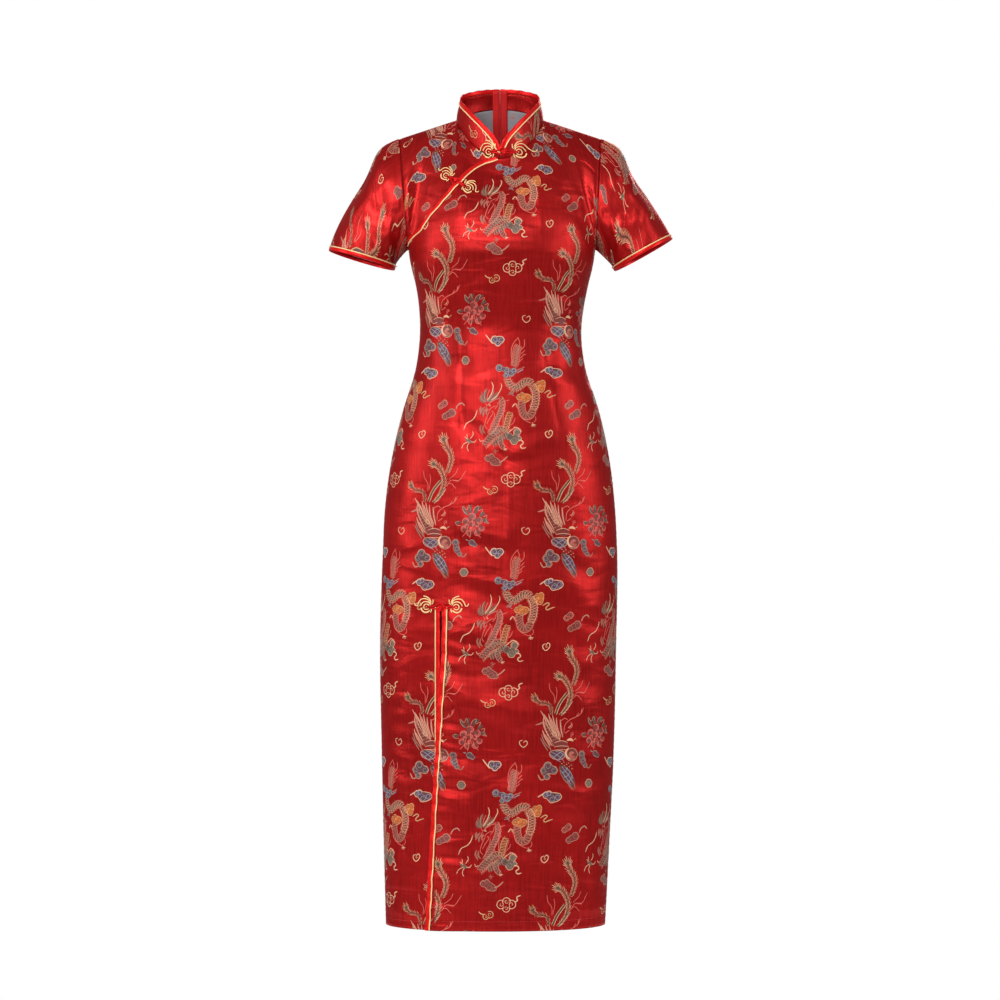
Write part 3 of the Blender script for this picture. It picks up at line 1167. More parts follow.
def figure_tree():
    tree, given = new_tree(
        "brocade_figures", Cloth="Object", Dragon="Object", Phoenix="Object",
        Repeat_Across="Float", Repeat_Up="Float", Columns="Int", Rows="Int",
        Dragon_At="Vector", Phoenix_At="Vector", Thread="Material")
    sides = []
    for gaps, count in (("Repeat Across", "Columns"), ("Repeat Up", "Rows")):
        less = add(tree, "ShaderNodeMath", {0: given[count], 1: 1}, operation="SUBTRACT")
        sides.append(add(tree, "ShaderNodeMath", {0: less, 1: given[gaps]}, operation="MULTIPLY"))
    grid = add(tree, "GeometryNodeMeshGrid", {
        "Size X": sides[0], "Size Y": sides[1],
        "Vertices X": given["Columns"], "Vertices Y": given["Rows"]})
    both = add(tree, "GeometryNodeJoinGeometry")
    for motif in ("Dragon", "Phoenix"):
        placed = add(tree, "GeometryNodeTransform", {
            "Geometry": grid.outputs["Mesh"], "Translation": given[motif + " At"]})
        shape = add(tree, "GeometryNodeObjectInfo", {"Object": given[motif]})
        spots = add(tree, "GeometryNodeInstanceOnPoints", {
            "Points": placed, "Instance": shape.outputs["Geometry"]})
        fill(tree, both, {0: spots})
    flat = add(tree, "GeometryNodeRealizeInstances", {"Geometry": both})
    place = add(tree, "GeometryNodeInputPosition")
    named = add(tree, "GeometryNodeStoreNamedAttribute", {
        "Geometry": flat, "Name": "flat", "Value": place},
        data_type="FLOAT2", domain="CORNER")
    body = add(tree, "GeometryNodeObjectInfo", {"Object": given["Cloth"]}).outputs["Geometry"]
    uv, facing = (add(tree, "GeometryNodeInputNamedAttribute", {"Name": name}, data_type="FLOAT_VECTOR")
        for name in ("flat", "facing"))
    found = []
    for value in (place, facing):
        found.append(add(tree, "GeometryNodeSampleUVSurface", {
            "Mesh": body, "Value": value, "Source UV Map": uv, "Sample UV": place},
            data_type="FLOAT_VECTOR"))
    height = add(tree, "ShaderNodeSeparateXYZ", {0: place}).outputs["Z"]
    lift = add(tree, "ShaderNodeVectorMath", {0: found[1], "Scale": height}, operation="SCALE")
    spot = add(tree, "ShaderNodeVectorMath", {0: found[0], 1: lift})
    off = add(tree, "FunctionNodeBooleanMath", {0: found[0].outputs["Is Valid"]}, operation="NOT")
    # a corner's own validity is read before the points move
    kept = add(tree, "GeometryNodeStoreNamedAttribute", {
        "Geometry": named, "Name": "off", "Value": off},
        data_type="BOOLEAN", domain="POINT")
    moved = add(tree, "GeometryNodeSetPosition", {"Geometry": kept, "Position": spot})
    outside = add(tree, "GeometryNodeInputNamedAttribute", {"Name": "off"}, data_type="BOOLEAN")
    cut = add(tree, "GeometryNodeDeleteGeometry", {
        "Geometry": moved, "Selection": outside}, domain="POINT")
    clean = add(tree, "GeometryNodeRemoveAttribute", {"Geometry": cut, "Name": "off"})
    return end_tree(tree, clean, given["Thread"])


def grown(name, tree, settings):
    """Runs a node tree on an empty mesh and keeps the result as a plain mesh object."""
    made = placed(name, bpy.data.meshes.new(name))
    modifier = made.modifiers.new("nodes", "NODES")
    modifier.node_group = tree
    for item in tree.interface.items_tree:
        if item.in_out == "INPUT" and item.name in settings:
            modifier[item.identifier] = settings[item.name]
    graph = bpy.context.evaluated_depsgraph_get()
    mesh = bpy.data.meshes.new_from_object(made.evaluated_get(graph), depsgraph=graph)
    made.modifiers.clear()
    made.data = mesh
    mesh.name = name
    return made


# %% Thread, as a material
def thread_material():
    """Bundles of coloured weft: each float is a little shinier along its middle."""
    made, tree, shader = start("brocade_weft_threads_woven", Roughness=0.45, Sheen_Weight=0.25,
        Sheen_Roughness=0.4, Specular_IOR_Level=0.45)
    dye = add(tree, "ShaderNodeAttribute", attribute_name="thread").outputs["Color"]
    floats = add(tree, "ShaderNodeTexWave", {
        "Vector": flat_map(tree), "Scale": 320, "Distortion": 0.6, "Detail": 1},
        bands_direction="Y")
    shade = add(tree, "ShaderNodeTexNoise", {
        "Vector": flat_map(tree, (900, 300, 1)), "Scale": 1, "Detail": 2})
    tone = add(tree, "ShaderNodeValToRGB", {"Fac": shade},
               stops=((0.3, (0.62, 0.55, 0.52, 1)), (0.7, (1, 1, 1, 1))))
    seen = add(tree, "ShaderNodeMix", {0: 0.8, 6: dye, 7: tone}, data_type="RGBA",
               blend_type="MULTIPLY").outputs[2]
    face(tree, shader, seen, floats.outputs[1], 0.3, 0.00015)
    return made


THREAD = thread_material()
FIGURES = figure_tree()


def pattern(name, outer, normals, flat, missing, wrap):
    """Weaves the motifs into one panel, from its outer grid alone."""
    if wrap:
        outer = np.concatenate([outer, outer[:, :1]], axis=1)
        normals = np.concatenate([normals, normals[:, :1]], axis=1)
    rows, columns = outer.shape[:2]
    # the woven face is outside on every panel, so none shows its figures mirrored
    across, up = outer[1, 1] - outer[1, 0], outer[1, 0] - outer[0, 0]
    turned = np.dot(np.cross(across, up), normals[0, 0]) * (flat[1, 1] - flat[1, 0])[0]
    if turned * (flat[1, 0] - flat[0, 0])[1] < 0:
        flat = flat * [-1, 1]
    keep = np.ones((rows - 1, columns - 1), bool)
    if missing is not None:
        keep &= ~missing
    r, c = np.nonzero(keep)
    near = quads(r, c, c + 1, columns)
    base = mesh_object("laid_flat", outer.reshape(-1, 3), near, flat.reshape(-1, 2)[near.ravel()], ())
    facing = base.data.attributes.new("facing", "FLOAT_VECTOR", "POINT")
    facing.data.foreach_set("vector", np.ascontiguousarray(normals).ravel())
    low, high = flat.reshape(-1, 2).min(0), flat.reshape(-1, 2).max(0)
    settings = {"Cloth": base, "Dragon": DRAGON, "Phoenix": PHOENIX, "Thread": THREAD,
                "Repeat Across": REPEAT[0] * MM, "Repeat Up": REPEAT[1] * MM}
    counts = np.ceil((high - low) / REPEAT).astype(int) + 3
    settings["Columns"], settings["Rows"] = int(counts[0]), int(counts[1])
    for motif, first in (("Dragon At", FIRST_DRAGON), ("Phoenix At", FIRST_PHOENIX)):
        steps = np.round(((low + high) / 2 - first) / REPEAT + (counts + 1) % 2 / 2)
        steps = steps - (counts + 1) % 2 / 2
        settings[motif] = [*((np.array(first) + steps * REPEAT) * MM), 0.0]
    made = grown(name, FIGURES, settings)
    bpy.data.objects.remove(base)
    return made


# %% Pattern on every panel
panels = [("front_figures", front, front_normals, front_flat, notch, False),
          ("under_figures", under, under_normals, under_flat, None, False)]
for kind in ("back", "sleeve", "collar"):
    for side in SIDES:
        wrapped = kind == "sleeve"
        panels.append((f"{kind}_figures_{side}", *PANELS[f"{kind}_{side}"], None, wrapped))
for name, *grids in panels:
    dress(pattern(name, *grids), "brocade")

# %% [markdown]
# ## Bindings and gold piping
#
# Raw edges are closed with a bias strip of plain satin, cut at 45 degrees so that it bends round
# curves, folded over and slipstitched; the turn puckers slightly. A gold cord is caught in its
# seam. Both are one closed section swept along an edge. A curve with a bevel would do it, but its
# section would turn; here the cloth's own normals keep the strip lying flat.

# %% Sweeping a section along an edge
def sweep(name, path, normals, section, material, closed=False, width=None):
    """Section rows are (along the side direction, along the normal) in millimetres."""
    path, normals = np.asarray(path, float), unit(normals)
    ahead = (np.roll(path, -1, 0) - np.roll(path, 1, 0)) if closed else np.gradient(path, axis=0)
    side = unit(np.cross(unit(ahead), normals))
    rows, size = len(path), len(section)
    if width is None:
        width = np.ones(rows)
    section = np.asarray(section, float)
    ring = path[:, None] + (side[:, None] * section[None, :, :1]
                            + normals[:, None] * section[None, :, 1:]) * width[:, None, None]
    run, girth = run_of(path), run_of(np.vstack([section, section[:1]]))
    faces, flats = [], []
    for i in range(rows if closed else rows - 1):
        j = (i + 1) % rows
        far = run[-1] + 1 if j == 0 else run[j]
        for k in range(size):
            m = (k + 1) % size
            faces.append((i * size + k, i * size + m, j * size + m, j * size + k))
            flats += [(run[i], girth[k]), (run[i], girth[k + 1]), (far, girth[k + 1]), (far, girth[k])]
    if not closed:
        for row, turn in ((0, -1), (rows - 1, 1)):
            faces.append(tuple(row * size + k for k in range(size))[::turn])
            flats += [(run[row], girth[k]) for k in range(size)][::turn]
    made = mesh_object(name, ring.reshape(-1, 3), faces, flats, (material,))
    made.data.update()
    a, b, c = (np.array(made.data.vertices[v].co) for v in faces[size // 2][:3])
    out = np.array(made.data.vertices[faces[size // 2][0]].co) / MM - path[0]
    if np.dot(np.cross(b - a, c - b), out) < 0:
        made.data.flip_normals()
    return made


def round_section(radius, sides=10):
    turns = np.linspace(0, 2 * math.pi, sides, endpoint=False)
    return np.stack([radius * np.cos(turns), radius * np.sin(turns)], 1)


def even_path(points, normals, step, closed=False):
    """The same path with evenly spaced samples."""
    if closed:
        points, normals = np.vstack([points, points[:1]]), np.vstack([normals, normals[:1]])
    run = run_of(points)
    at = np.linspace(0, run[-1], max(3, int(run[-1] / step) + 1))
    if closed:
        at = at[:-1]
    path, tops = (np.stack([np.interp(at, run, rows[:, k]) for k in range(3)], 1)
                  for rows in (points, normals))
    return path, unit(tops)


# %% [markdown]
# ### Satin strip and gold cord
#
# The strip is plain satin, brighter than the brocade since no pattern weft dulls it. The cord is a
# core wound with metallic yarn: a fine spiral of glints, pale where it faces the light and brown
# in its grooves.

# %% Materials of the trims
def gold_cord():
    made, tree, shader = start("gold_cord_wound_metallic_yarn", Roughness=0.42, Metallic=0.25,
        Sheen_Weight=0.3, Sheen_Roughness=0.4)
    wound = add(tree, "ShaderNodeTexWave", {
        "Vector": flat_map(tree, (1, 0.5, 1), 0.5), "Scale": 210, "Distortion": 0.4},
        bands_direction="X")
    glint = add(tree, "ShaderNodeTexNoise", {
        "Vector": flat_map(tree, (2600, 900, 1)), "Scale": 1, "Detail": 2})
    tone = add(tree, "ShaderNodeMath", {0: wound.outputs[1], 1: 0.7, 2: glint}, operation="MULTIPLY_ADD")
    dye = add(tree, "ShaderNodeValToRGB", {"Fac": tone},
              stops=((0.35, "#B97C40"), (0.65, "#EEB670"), (0.95, "#FFE0A6")))
    face(tree, shader, dye, wound.outputs[1], 0.5, 0.0002)
    return made


GOLD = gold_cord()
STRIP = pts("0,-0.55 2.4,-0.75 5.2,-0.7 6.9,-0.45 7.45,0.05 7.15,0.6 5.6,0.95 3.4,1.05 1.4,0.85 0,0.4")
PIPING = round_section(1)


def bind(label, edge, normals, inward, nodes, piping_rise=0.95):
    """A binding past the edge and the cord over the joint; both stand for the plain nodes."""
    edge, normals = np.asarray(edge, float), unit(normals)
    inward = unit(np.asarray(inward, float))
    ahead = unit(np.gradient(edge, axis=0))
    side = unit(np.cross(ahead, normals))
    sign = -1 if np.mean(np.sum(side * inward, axis=1)) > 0 else 1
    path, tops = even_path(edge - inward * 0.15 + normals * 0.15, normals, 2.2)
    run = np.arange(len(path)) * 2.2
    pucker = 1 + 0.045 * np.sin(run / 2.3 + 1.4 * np.sin(run / 19)) + 0.03 * np.sin(run / 7.7)
    section = STRIP * [sign, 1]
    band = sweep(label + "_bias_strip", path, tops, section, BIAS, width=pucker)
    path, tops = even_path(edge + normals * piping_rise + inward * 0.1, normals, 1.8)
    cord = sweep(label + "_gold_piping", path, tops, PIPING, GOLD)
    dress(band, "red_satin", nodes[0])
    dress(cord, "gold_cord", nodes[1])


# %% Bindings of the curved opening, the slit and the collar
first = len(SKIRT) + 1
edge, above = front[first:-1, 0], front_normals[first:-1, 0]
inward = front[first:-1, 1] - edge
bind("opening", edge, above, inward, ("placket_binding", "placket_piping"))
for label, column, inner in (("side", SIDE_COLUMNS, -1), ("main", SIDE_COLUMNS + 1, 1)):
    edge = front[: SLIT_ROWS + 1, column].copy()
    edge[-1] -= unit(edge[-1] - edge[-2]) * 0.8
    inward = front[: SLIT_ROWS + 1, column + inner] - edge
    inward[-1] = inward[-2]
    bind("slit_" + label, edge, front_normals[: SLIT_ROWS + 1, column], inward,
         (f"slit_{label}_binding", f"slit_{label}_piping"))
for side, (made, high, normals, up) in COLLARS.items():
    edge = trim(high[None].repeat(2, axis=0), ("left", "right"), 0.3)[0]
    nodes = ("collar_binding_" + side, "collar_piping_" + side)
    bind("collar_" + side, edge, normals, -up, nodes, 1.15)

# %% Cuffs
CUFF_BAND = pts("0.1,-0.45 3,-0.6 5.9,-0.5 6.6,0 6.1,0.55 3.2,0.7 0.1,0.45")
for side in SIDES:
    grid, normals, _ = PANELS["sleeve_" + side]
    edge, above = grid[-1], normals[-1]
    onward = unit(grid[-1] - grid[-2])
    across = unit(np.cross(np.roll(edge, -1, 0) - np.roll(edge, 1, 0), above))
    sign = 1 if np.mean(np.sum(across * onward, axis=1)) > 0 else -1
    path, tops = even_path(edge, above, 3, closed=True)
    band = sweep("cuff_band_bias_" + side, path, tops, CUFF_BAND * [sign, 1], BIAS, closed=True)
    path, tops = even_path(edge + above, above, 2.2, closed=True)
    cord = sweep("cuff_gold_piping_" + side, path, tops, PIPING, GOLD, closed=True)
    dress(band, "red_satin", "cuff_band_" + side)
    dress(cord, "gold_cord", "cuff_piping_" + side)

# %% [markdown]
# ## Frogs
#
# A frog is a knotted button and its loop, each with a flourish of couched cord: a coiled eye over
# a fat petal, arcs sweeping up from the knot, a long feeler and two short leaves. The strokes of
# one wing are listed once, mirrored, and laid on whatever lies below by casting each point down.

# %% Strokes of a wing
# thickness, then distance out from the knot and height, in mm
WING = (
    (1.3, "23.6,0.3 24.9,0.5"),
    (1.05, "19.8,1.8 21.8,4.2 25.4,4.9 28.4,2.9 28.9,-0.9 26.6,-3.6 22.9,-3.5 20.8,-1.6"),
    (1.5, "18.6,-4.6 22.2,-7.6 27.6,-8.2 31.8,-5.2 33.6,-0.8"),
    (1.05, "17.2,3 20.2,7.4 25.2,8.9 30.4,7.6 33.8,3.4 34,1.6"),
    (1.05, "16.8,5.4 20.6,11.2 26.8,13.6 33.2,12.6 37.2,8 39.4,3 41.8,2.2 43.8,4.2 44.2,6.6"),
    (1.05, "16.2,7.6 19.4,13.4 24.4,16.8 29.8,18.2"),
    (1.05, "15.8,4.4 13.6,7.4 13.2,12.4"),
    (1.15, "17,-0.8 16.2,-4.6 18,-8.8"),
)
CORD = 0.78  # radius of the gold cord


def gathered(parts):
    """Points, faces and flat coordinates of several pieces as if they were one."""
    points, faces, flats = [], [], []
    for part in parts:
        at = len(points)
        points += [v.co / MM for v in part.data.vertices]
        faces += [[at + i for i in f.vertices] for f in part.data.polygons]
        flats += [tuple(d.uv / MM) for d in part.data.uv_layers["flat"].data]
    return points, faces, flats


def on_front(x, z):
    share, rise = find(x, z)
    shares = np.array([share])
    return FRONT.plain(shares, rise)[0], FRONT.normals(shares, rise)[0]


def on_collar(x, z):
    """The neck frog lies across the bowed front of the collar."""
    bow = 1 - (x / 72) ** 2
    slope = 2 * 0.72 * 66 * bow**-0.28 * x / 72**2
    return np.array([x, -66 * bow**0.72, z]), unit([slope, -1, 0])


# name, ground, x, z, degrees of turn, scale
FROGS = (
    ("neck", on_collar, 5.5, -38.5, 0, 1),
    ("chest", on_front, -66.5, -86, -33, 0.84),
    ("slit", on_front, -90, -738, 0, 0.95),
)


def turned(spots, x0, z0, degrees):
    """Spots given out from the knot and up, turned with the frog and moved to its place."""
    c, s = math.cos(math.radians(degrees)), math.sin(math.radians(degrees))
    return [(x0 + p * c - q * s, z0 + p * s + q * c) for p, q in spots]


def ground_at(ground, base, normal, spread=(0,)):
    """Height of the highest ground under a place, looked for at a few spots about it."""
    side = unit(np.cross(normal, [0, 0, 1]))
    best = -6
    for step in spread:
        start = base + normal * 22 + side * step
        hit = ground.ray_cast(Vector(start), Vector(-normal), 44)
        if hit[0] is not None:
            best = max(best, 22 - hit[3])
    return best if best > -6 else 0


def lay_cord(ground, place, spots, radius):
    """A smooth path over the spots, each point set down on the cloth below it."""
    fine, _ = flow(np.array(spots), 0.6)
    path, normals = [], []
    for x, z in fine:
        base, normal = place(x, z)
        path.append(base + normal * ground_at(ground, base, normal))
        normals.append(normal)
    path, normals = np.array(path), np.array(normals)
    return path + normals * radius * 0.9, normals


def merge(name, parts):
    """One object from several, joined point for point; all share one material."""
    made = mesh_object(name, *gathered(parts), parts[0].data.materials[:])
    for part in parts:
        bpy.data.objects.remove(part)
    return made


NEAR, SOFTEN = 2, 5  # points each way along a cord


def settle(path, normals):
    """Spans small dips: a cord this stiff takes the highest ground near it, smoothed."""
    up = unit(normals.mean(axis=0))
    level = path @ up
    n = len(level)
    high = np.array([level[max(0, i - NEAR): i + NEAR + 1].max() for i in range(n)])
    soft = np.array([high[max(0, i - SOFTEN): i + SOFTEN + 1].mean() for i in range(n)])
    return path + up * np.maximum(soft - level, 0)[:, None]


# %% Lay the gold wings
LYING = [front_cloth, under_cloth] + [c[0] for c in COLLARS.values()]
LYING += [piece for piece, slot, nodes in DRESS if "strip" in piece.name or "piping" in piece.name]
GROUND_BELOW = BVHTree.FromPolygons(*gathered(LYING)[:2])
for label, place, x0, z0, degrees, scale in FROGS:
    for side, way in (("right", -0.96), ("left", 1)):
        parts = []
        for i, (thick, text) in enumerate(WING):
            spots = turned(pts(text) * scale * [way, 1], x0, z0, degrees)
            radius = CORD * thick * (0.9 if scale < 0.9 else 1)
            path, normals = lay_cord(GROUND_BELOW, place, spots, radius)
            path = settle(path, normals) + normals * 0.02 * i
            ends = np.linspace(0, 1, len(path))
            taper = np.sqrt(np.clip(np.minimum(ends, 1 - ends) * 14 + 0.15, 0, 1))
            parts.append(sweep("part", path, normals, round_section(radius, 8), GOLD, width=taper))
        wing = merge(f"frog_{label}_cord_{side}", parts)
        dress(wing, "gold_cord", f"frog_{label}_wing_{side}")

# %% [markdown]
# ### Knot and loop
#
# The button is a satin cord tied on itself into a ball. A trefoil knot, wound tight, has the same
# three bulging turns; its cord carries on to both sides as the tail and the loop.

# %% Tie the knots
BALL, BALL_CORD, TAIL_CORD, LOOP_CORD = 3.1, 1.35, 1.1, 1.15  # the knot's size, and radii of cord


def knot_path(size):
    t = np.linspace(0, 2 * math.pi, 72, endpoint=False)
    return np.stack([np.sin(t) + 2 * np.sin(2 * t), np.cos(t) - 2 * np.cos(2 * t), -1.3 * np.sin(3 * t)],
        1) * size / 3


def loose_tube(name, path, radius, closed):
    """A round cord along any path in space, turned as little as possible along it."""
    path = np.asarray(path, float)
    ahead = unit(np.roll(path, -1, 0) - np.roll(path, 1, 0)) if closed else unit(
        np.gradient(path, axis=0))
    up = [unit(np.cross(ahead[0], [0.3, 0.5, 0.8]))]
    for way in ahead[1:]:
        up.append(unit(up[-1] - way * np.dot(up[-1], way)))
    return sweep(name, path, np.array(up), round_section(radius, 9), BIAS, closed=closed)


def laid_cord(place, spots, radius):
    path, normals = lay_cord(GROUND_BELOW, place, spots, radius)
    return sweep("part", settle(path, normals), normals, round_section(radius, 9), BIAS)


for label, place, x0, z0, degrees, scale in FROGS:
    turn = math.radians(degrees)
    base, normal = place(x0, z0)
    across = unit(np.cross([0, 0, 1], normal)) * -1
    across = across if across[0] > 0 else -across
    up = unit(np.cross(normal, across))
    up = up if up[2] > 0 else -up
    across, up = (across * math.cos(turn) + up * math.sin(turn),
        up * math.cos(turn) - across * math.sin(turn))
    middle = base + normal * (ground_at(GROUND_BELOW, base, normal, (-4, 0, 4)) + 3.4)
    ball = knot_path(BALL)
    path = middle + ball[:, :1] * across + ball[:, 1:2] * up + ball[:, 2:] * normal * 1.1
    knot = [loose_tube("part", path, BALL_CORD, True)]
    ring = np.linspace(0, 2 * math.pi, 40, endpoint=False)
    inner = middle + (np.cos(ring) * 1.4)[:, None] * across + (np.sin(ring) * 1.4)[:, None] * up
    knot.append(loose_tube("part", inner + normal * 1.2, TAIL_CORD, True))
    for way in (-1, 1):  # two cords of the tail, sewn down towards the wearer's left wing
        spots = pts("2.4,0.6 6.2,1.5 10.5,1.3 15,1.6 17.4,1.9") * scale * [1, way]
        knot.append(laid_cord(place, turned(spots, x0, z0, degrees), TAIL_CORD))
    loops = []
    for way in (-1, 1):  # and the loop round the knot, from the other wing
        spots = pts("-17.4,1.7 -13,1.5 -9,2.2 -5.6,4.3 -1,5.3 3.2,4 4.9,0.2") * [1, way]
        spots[:, 0] = np.where(spots[:, 0] < -8, spots[:, 0] * scale, spots[:, 0])
        loops.append(laid_cord(place, turned(spots, x0, z0, degrees), LOOP_CORD))
    dress(merge(f"frog_{label}_button", knot), "red_satin", f"frog_{label}_knot")
    dress(merge(f"frog_{label}_cord_loop", loops), "red_satin", f"frog_{label}_loop")

# %% [markdown]
# ## The zip
#
# The centre back closes with a coil zip: two woven tapes sewn under the edges of the back, a
# nylon coil between them, and a slider with a drop-shaped pull outside. The tapes are laid from
# the back's own surface and carried up the inside of the collar, where they show past the neck.
# The coil is one loop repeated at an even pitch, which is Geometry Nodes' work, and the same tree
# sews the hems: it walks a path, and turns each copy to the path and to the cloth below it.

# %% Tapes
TAPE_WIDTHS, TAPE_DEPTH, TAPE_WALL = (0.03, 4, 8, 12), 2.2, 0.7
TAPE = satin(
    "zip_tape_woven_polyester_twill", "#A01012", "#BC1617", "#CE1D1E", thread=0.0005, turn=0.8,
    strength=0.5, drift=0.0004, Roughness=0.7, Specular_IOR_Level=0.2, Sheen_Weight=0.05,
    Sheen_Tint=colour("#FF4A4A"),
)
spine = []
for side, turn in (("right", -1), ("left", 1)):
    rows = []
    for rise in np.concatenate([np.linspace(rise_at(ZIP_END_Z), 1, 46), np.linspace(1.02, 1.97, 24)]):
        per_share = np.linalg.norm(BACK.plain(0.51, rise) - BACK.plain(0.5, rise)) / 0.01
        shares = 0.5 + turn * np.array(TAPE_WIDTHS) / per_share
        rows.append((BACK.points(shares, rise, -TAPE_DEPTH), BACK.normals(shares, rise)))
    grid, normals, _ = PANELS["collar_" + side]
    for points, facing in list(zip(grid, normals))[1:]:
        back = run_of(points[::-1])
        at, out = (np.stack([np.interp(TAPE_WIDTHS, back, a[::-1, k]) for k in range(3)], 1)
                   for a in (points, facing))
        rows.append((at - out * 1.5, out))
    rows.append((at + COLLARS[side][3][-1] * 6 - out * 2.2, out))
    made_of, out = (np.array([row[k] for row in rows]) for k in range(2))
    tall = run_of(made_of[:, 0])
    flat = np.stack(np.broadcast_arrays(np.array(TAPE_WIDTHS) * turn, tall[:, None]), 2)
    if turn < 0:
        made_of, out, flat = made_of[:, ::-1], out[:, ::-1], flat[:, ::-1]
    tape = cloth("zip_tape_cloth_" + side, made_of, out, flat, (TAPE, TAPE), wall=TAPE_WALL)
    dress(tape, "zip_tape", "zip_tape_" + side)
    edge = -1 if turn < 0 else 0
    spine.append((made_of[:, edge], out[:, edge]))
print("zip tapes:", round(float(tall[-1])), "mm long,", TAPE_WIDTHS[-1], "mm wide each")


# %% A tree that repeats a shape along a path
def row_tree():
    tree, given = new_tree("row_along_a_path", Path="Object", Shape="Object", Pitch="Float",
        Finish="Material")
    path = add(tree, "GeometryNodeObjectInfo", {"Object": given["Path"]}).outputs["Geometry"]
    curve = add(tree, "GeometryNodeMeshToCurve", {"Mesh": path})
    even = add(tree, "GeometryNodeResampleCurve", {"Curve": curve, "Length": given["Pitch"]},
               mode="LENGTH")
    facing = add(tree, "GeometryNodeInputNamedAttribute", {"Name": "facing"}, data_type="FLOAT_VECTOR")
    ahead = add(tree, "GeometryNodeInputTangent")
    aimed = add(tree, "FunctionNodeAxesToRotation", {0: facing, 1: ahead},
                primary_axis="Z", secondary_axis="X")
    shape = add(tree, "GeometryNodeObjectInfo", {"Object": given["Shape"]})
    copies = add(tree, "GeometryNodeInstanceOnPoints", {
        "Points": even, "Instance": shape.outputs["Geometry"], "Rotation": aimed})
    return end_tree(tree, copies, given["Finish"])


def capsule(name, length, radius, along_path=True):
    """A short rounded thread lying on its path, or across it."""
    rings = ((-0.5, 0.35), (-0.32, 1), (0.32, 1), (0.5, 0.35))
    points, faces = [], []
    for place, size in rings:
        for k in range(6):
            a = k * math.pi / 3
            y, z = radius * size * math.cos(a), radius * size * math.sin(a)
            points.append((place * length, y, z) if along_path else (-y, place * length, z))
    for i in range(3):
        for k in range(6):
            m = (k + 1) % 6
            faces.append((6 * i + k, 6 * i + m, 6 * i + 6 + m, 6 * i + 6 + k)[::-1])
    faces += [tuple(range(6)), tuple(range(23, 17, -1))]
    return mesh_object(name, points, faces, np.zeros((sum(map(len, faces)), 2)), ())


ROW = row_tree()


def row_of(name, shape, points, facing, pitch, finish):
    """Runs the tree over a polyline and keeps a plain mesh."""
    mesh = bpy.data.meshes.new(name)
    mesh.from_pydata((points * MM).tolist(), [(i, i + 1) for i in range(len(points) - 1)], [])
    layer = mesh.attributes.new("facing", "FLOAT_VECTOR", "POINT")
    layer.data.foreach_set("vector", np.ascontiguousarray(facing, float).ravel())
    path = placed(name + "_path", mesh)
    made = grown(name, ROW, {"Path": path, "Shape": shape, "Pitch": pitch * MM, "Finish": finish})
    bpy.data.objects.remove(path)
    print(name, len(made.data.polygons) // 20, "pieces,", pitch, "mm apart")
    return made


# %% Thread and coil materials
def spun(name, deep, light, rough, grain):
    """Twisted thread or moulded nylon: fine streaks, a soft gleam, nothing sharp."""
    made, tree, shader = start(name, Roughness=rough, Sheen_Weight=0.2, Sheen_Roughness=0.4)
    spot = add(tree, "ShaderNodeTexCoord", {}).outputs["Object"]
    streaks = add(tree, "ShaderNodeTexNoise", {"Vector": spot, "Scale": grain, "Detail": 2})
    dye = add(tree, "ShaderNodeValToRGB", {"Fac": streaks}, stops=((0.3, deep), (0.7, light)))
    face(tree, shader, dye, streaks, 0.4, 0.0001)
    return made


SEWING = spun("sewing_thread_spun_polyester_red", "#9C0F17", "#D8303A", 0.5, 2400)
NYLON = spun("zip_coil_extruded_nylon_red", "#A01013", "#C42022", 0.38, 900)

# %% Coil, hems and tape stitches
middle = (spine[0][0] + spine[1][0]) / 2
facing = unit(spine[0][1] + spine[1][1])
loop = capsule("coil_loop", 2.8, 0.42, along_path=False)
coil = row_of("zip_coil", loop, middle - facing * (TAPE_WALL + 0.45), facing, 1.35, NYLON)
dress(coil, "zip_tape")
stitch = capsule("one_stitch", 2.3, 0.2)


def up_the_cloth(grid, normals, flat, height, columns=slice(None)):
    """The line on a panel a fixed distance above its lower edge."""
    lines = []
    for points, out, v in zip(np.swapaxes(grid, 0, 1)[columns], np.swapaxes(normals, 0, 1)[columns],
            np.swapaxes(flat, 0, 1)[columns, :, 1]):
        tall = v - v[0]
        lines.append([np.interp(height, tall, a[:, k]) for a in (points, out) for k in range(3)])
    lines = np.array(lines)
    return lines[:, :3] + unit(lines[:, 3:]) * 0.12, unit(lines[:, 3:])


HEM_UP, SIDE_UP, STITCH_EVERY = 15, 12, 3
HEM_STITCHES = [
    ("front_hem_stitches", front, front_normals, front_flat, HEM_UP, slice(SIDE_COLUMNS + 4, None)),
    ("side_hem_stitches", front, front_normals, front_flat, SIDE_UP, slice(0, SIDE_COLUMNS - 2)),
]
HEM_STITCHES += [(f"back_hem_stitches_{side}", *PANELS["back_" + side], HEM_UP) for side in SIDES]
for name, *where in HEM_STITCHES:
    points, out = up_the_cloth(*where)
    dress(row_of(name, stitch, points, out, STITCH_EVERY, SEWING), "red_satin")
for helper in (loop, stitch):
    bpy.data.objects.remove(helper)


# %% [markdown]
# ### Slider and pull
#
# Die-cast and enamelled to match, so thin paint pools in the corners and the metal glints through
# on the rims. The slider is two plates round a waist, lofted from one outline; the pull hangs free
# on the bridge, and swings on it in use.

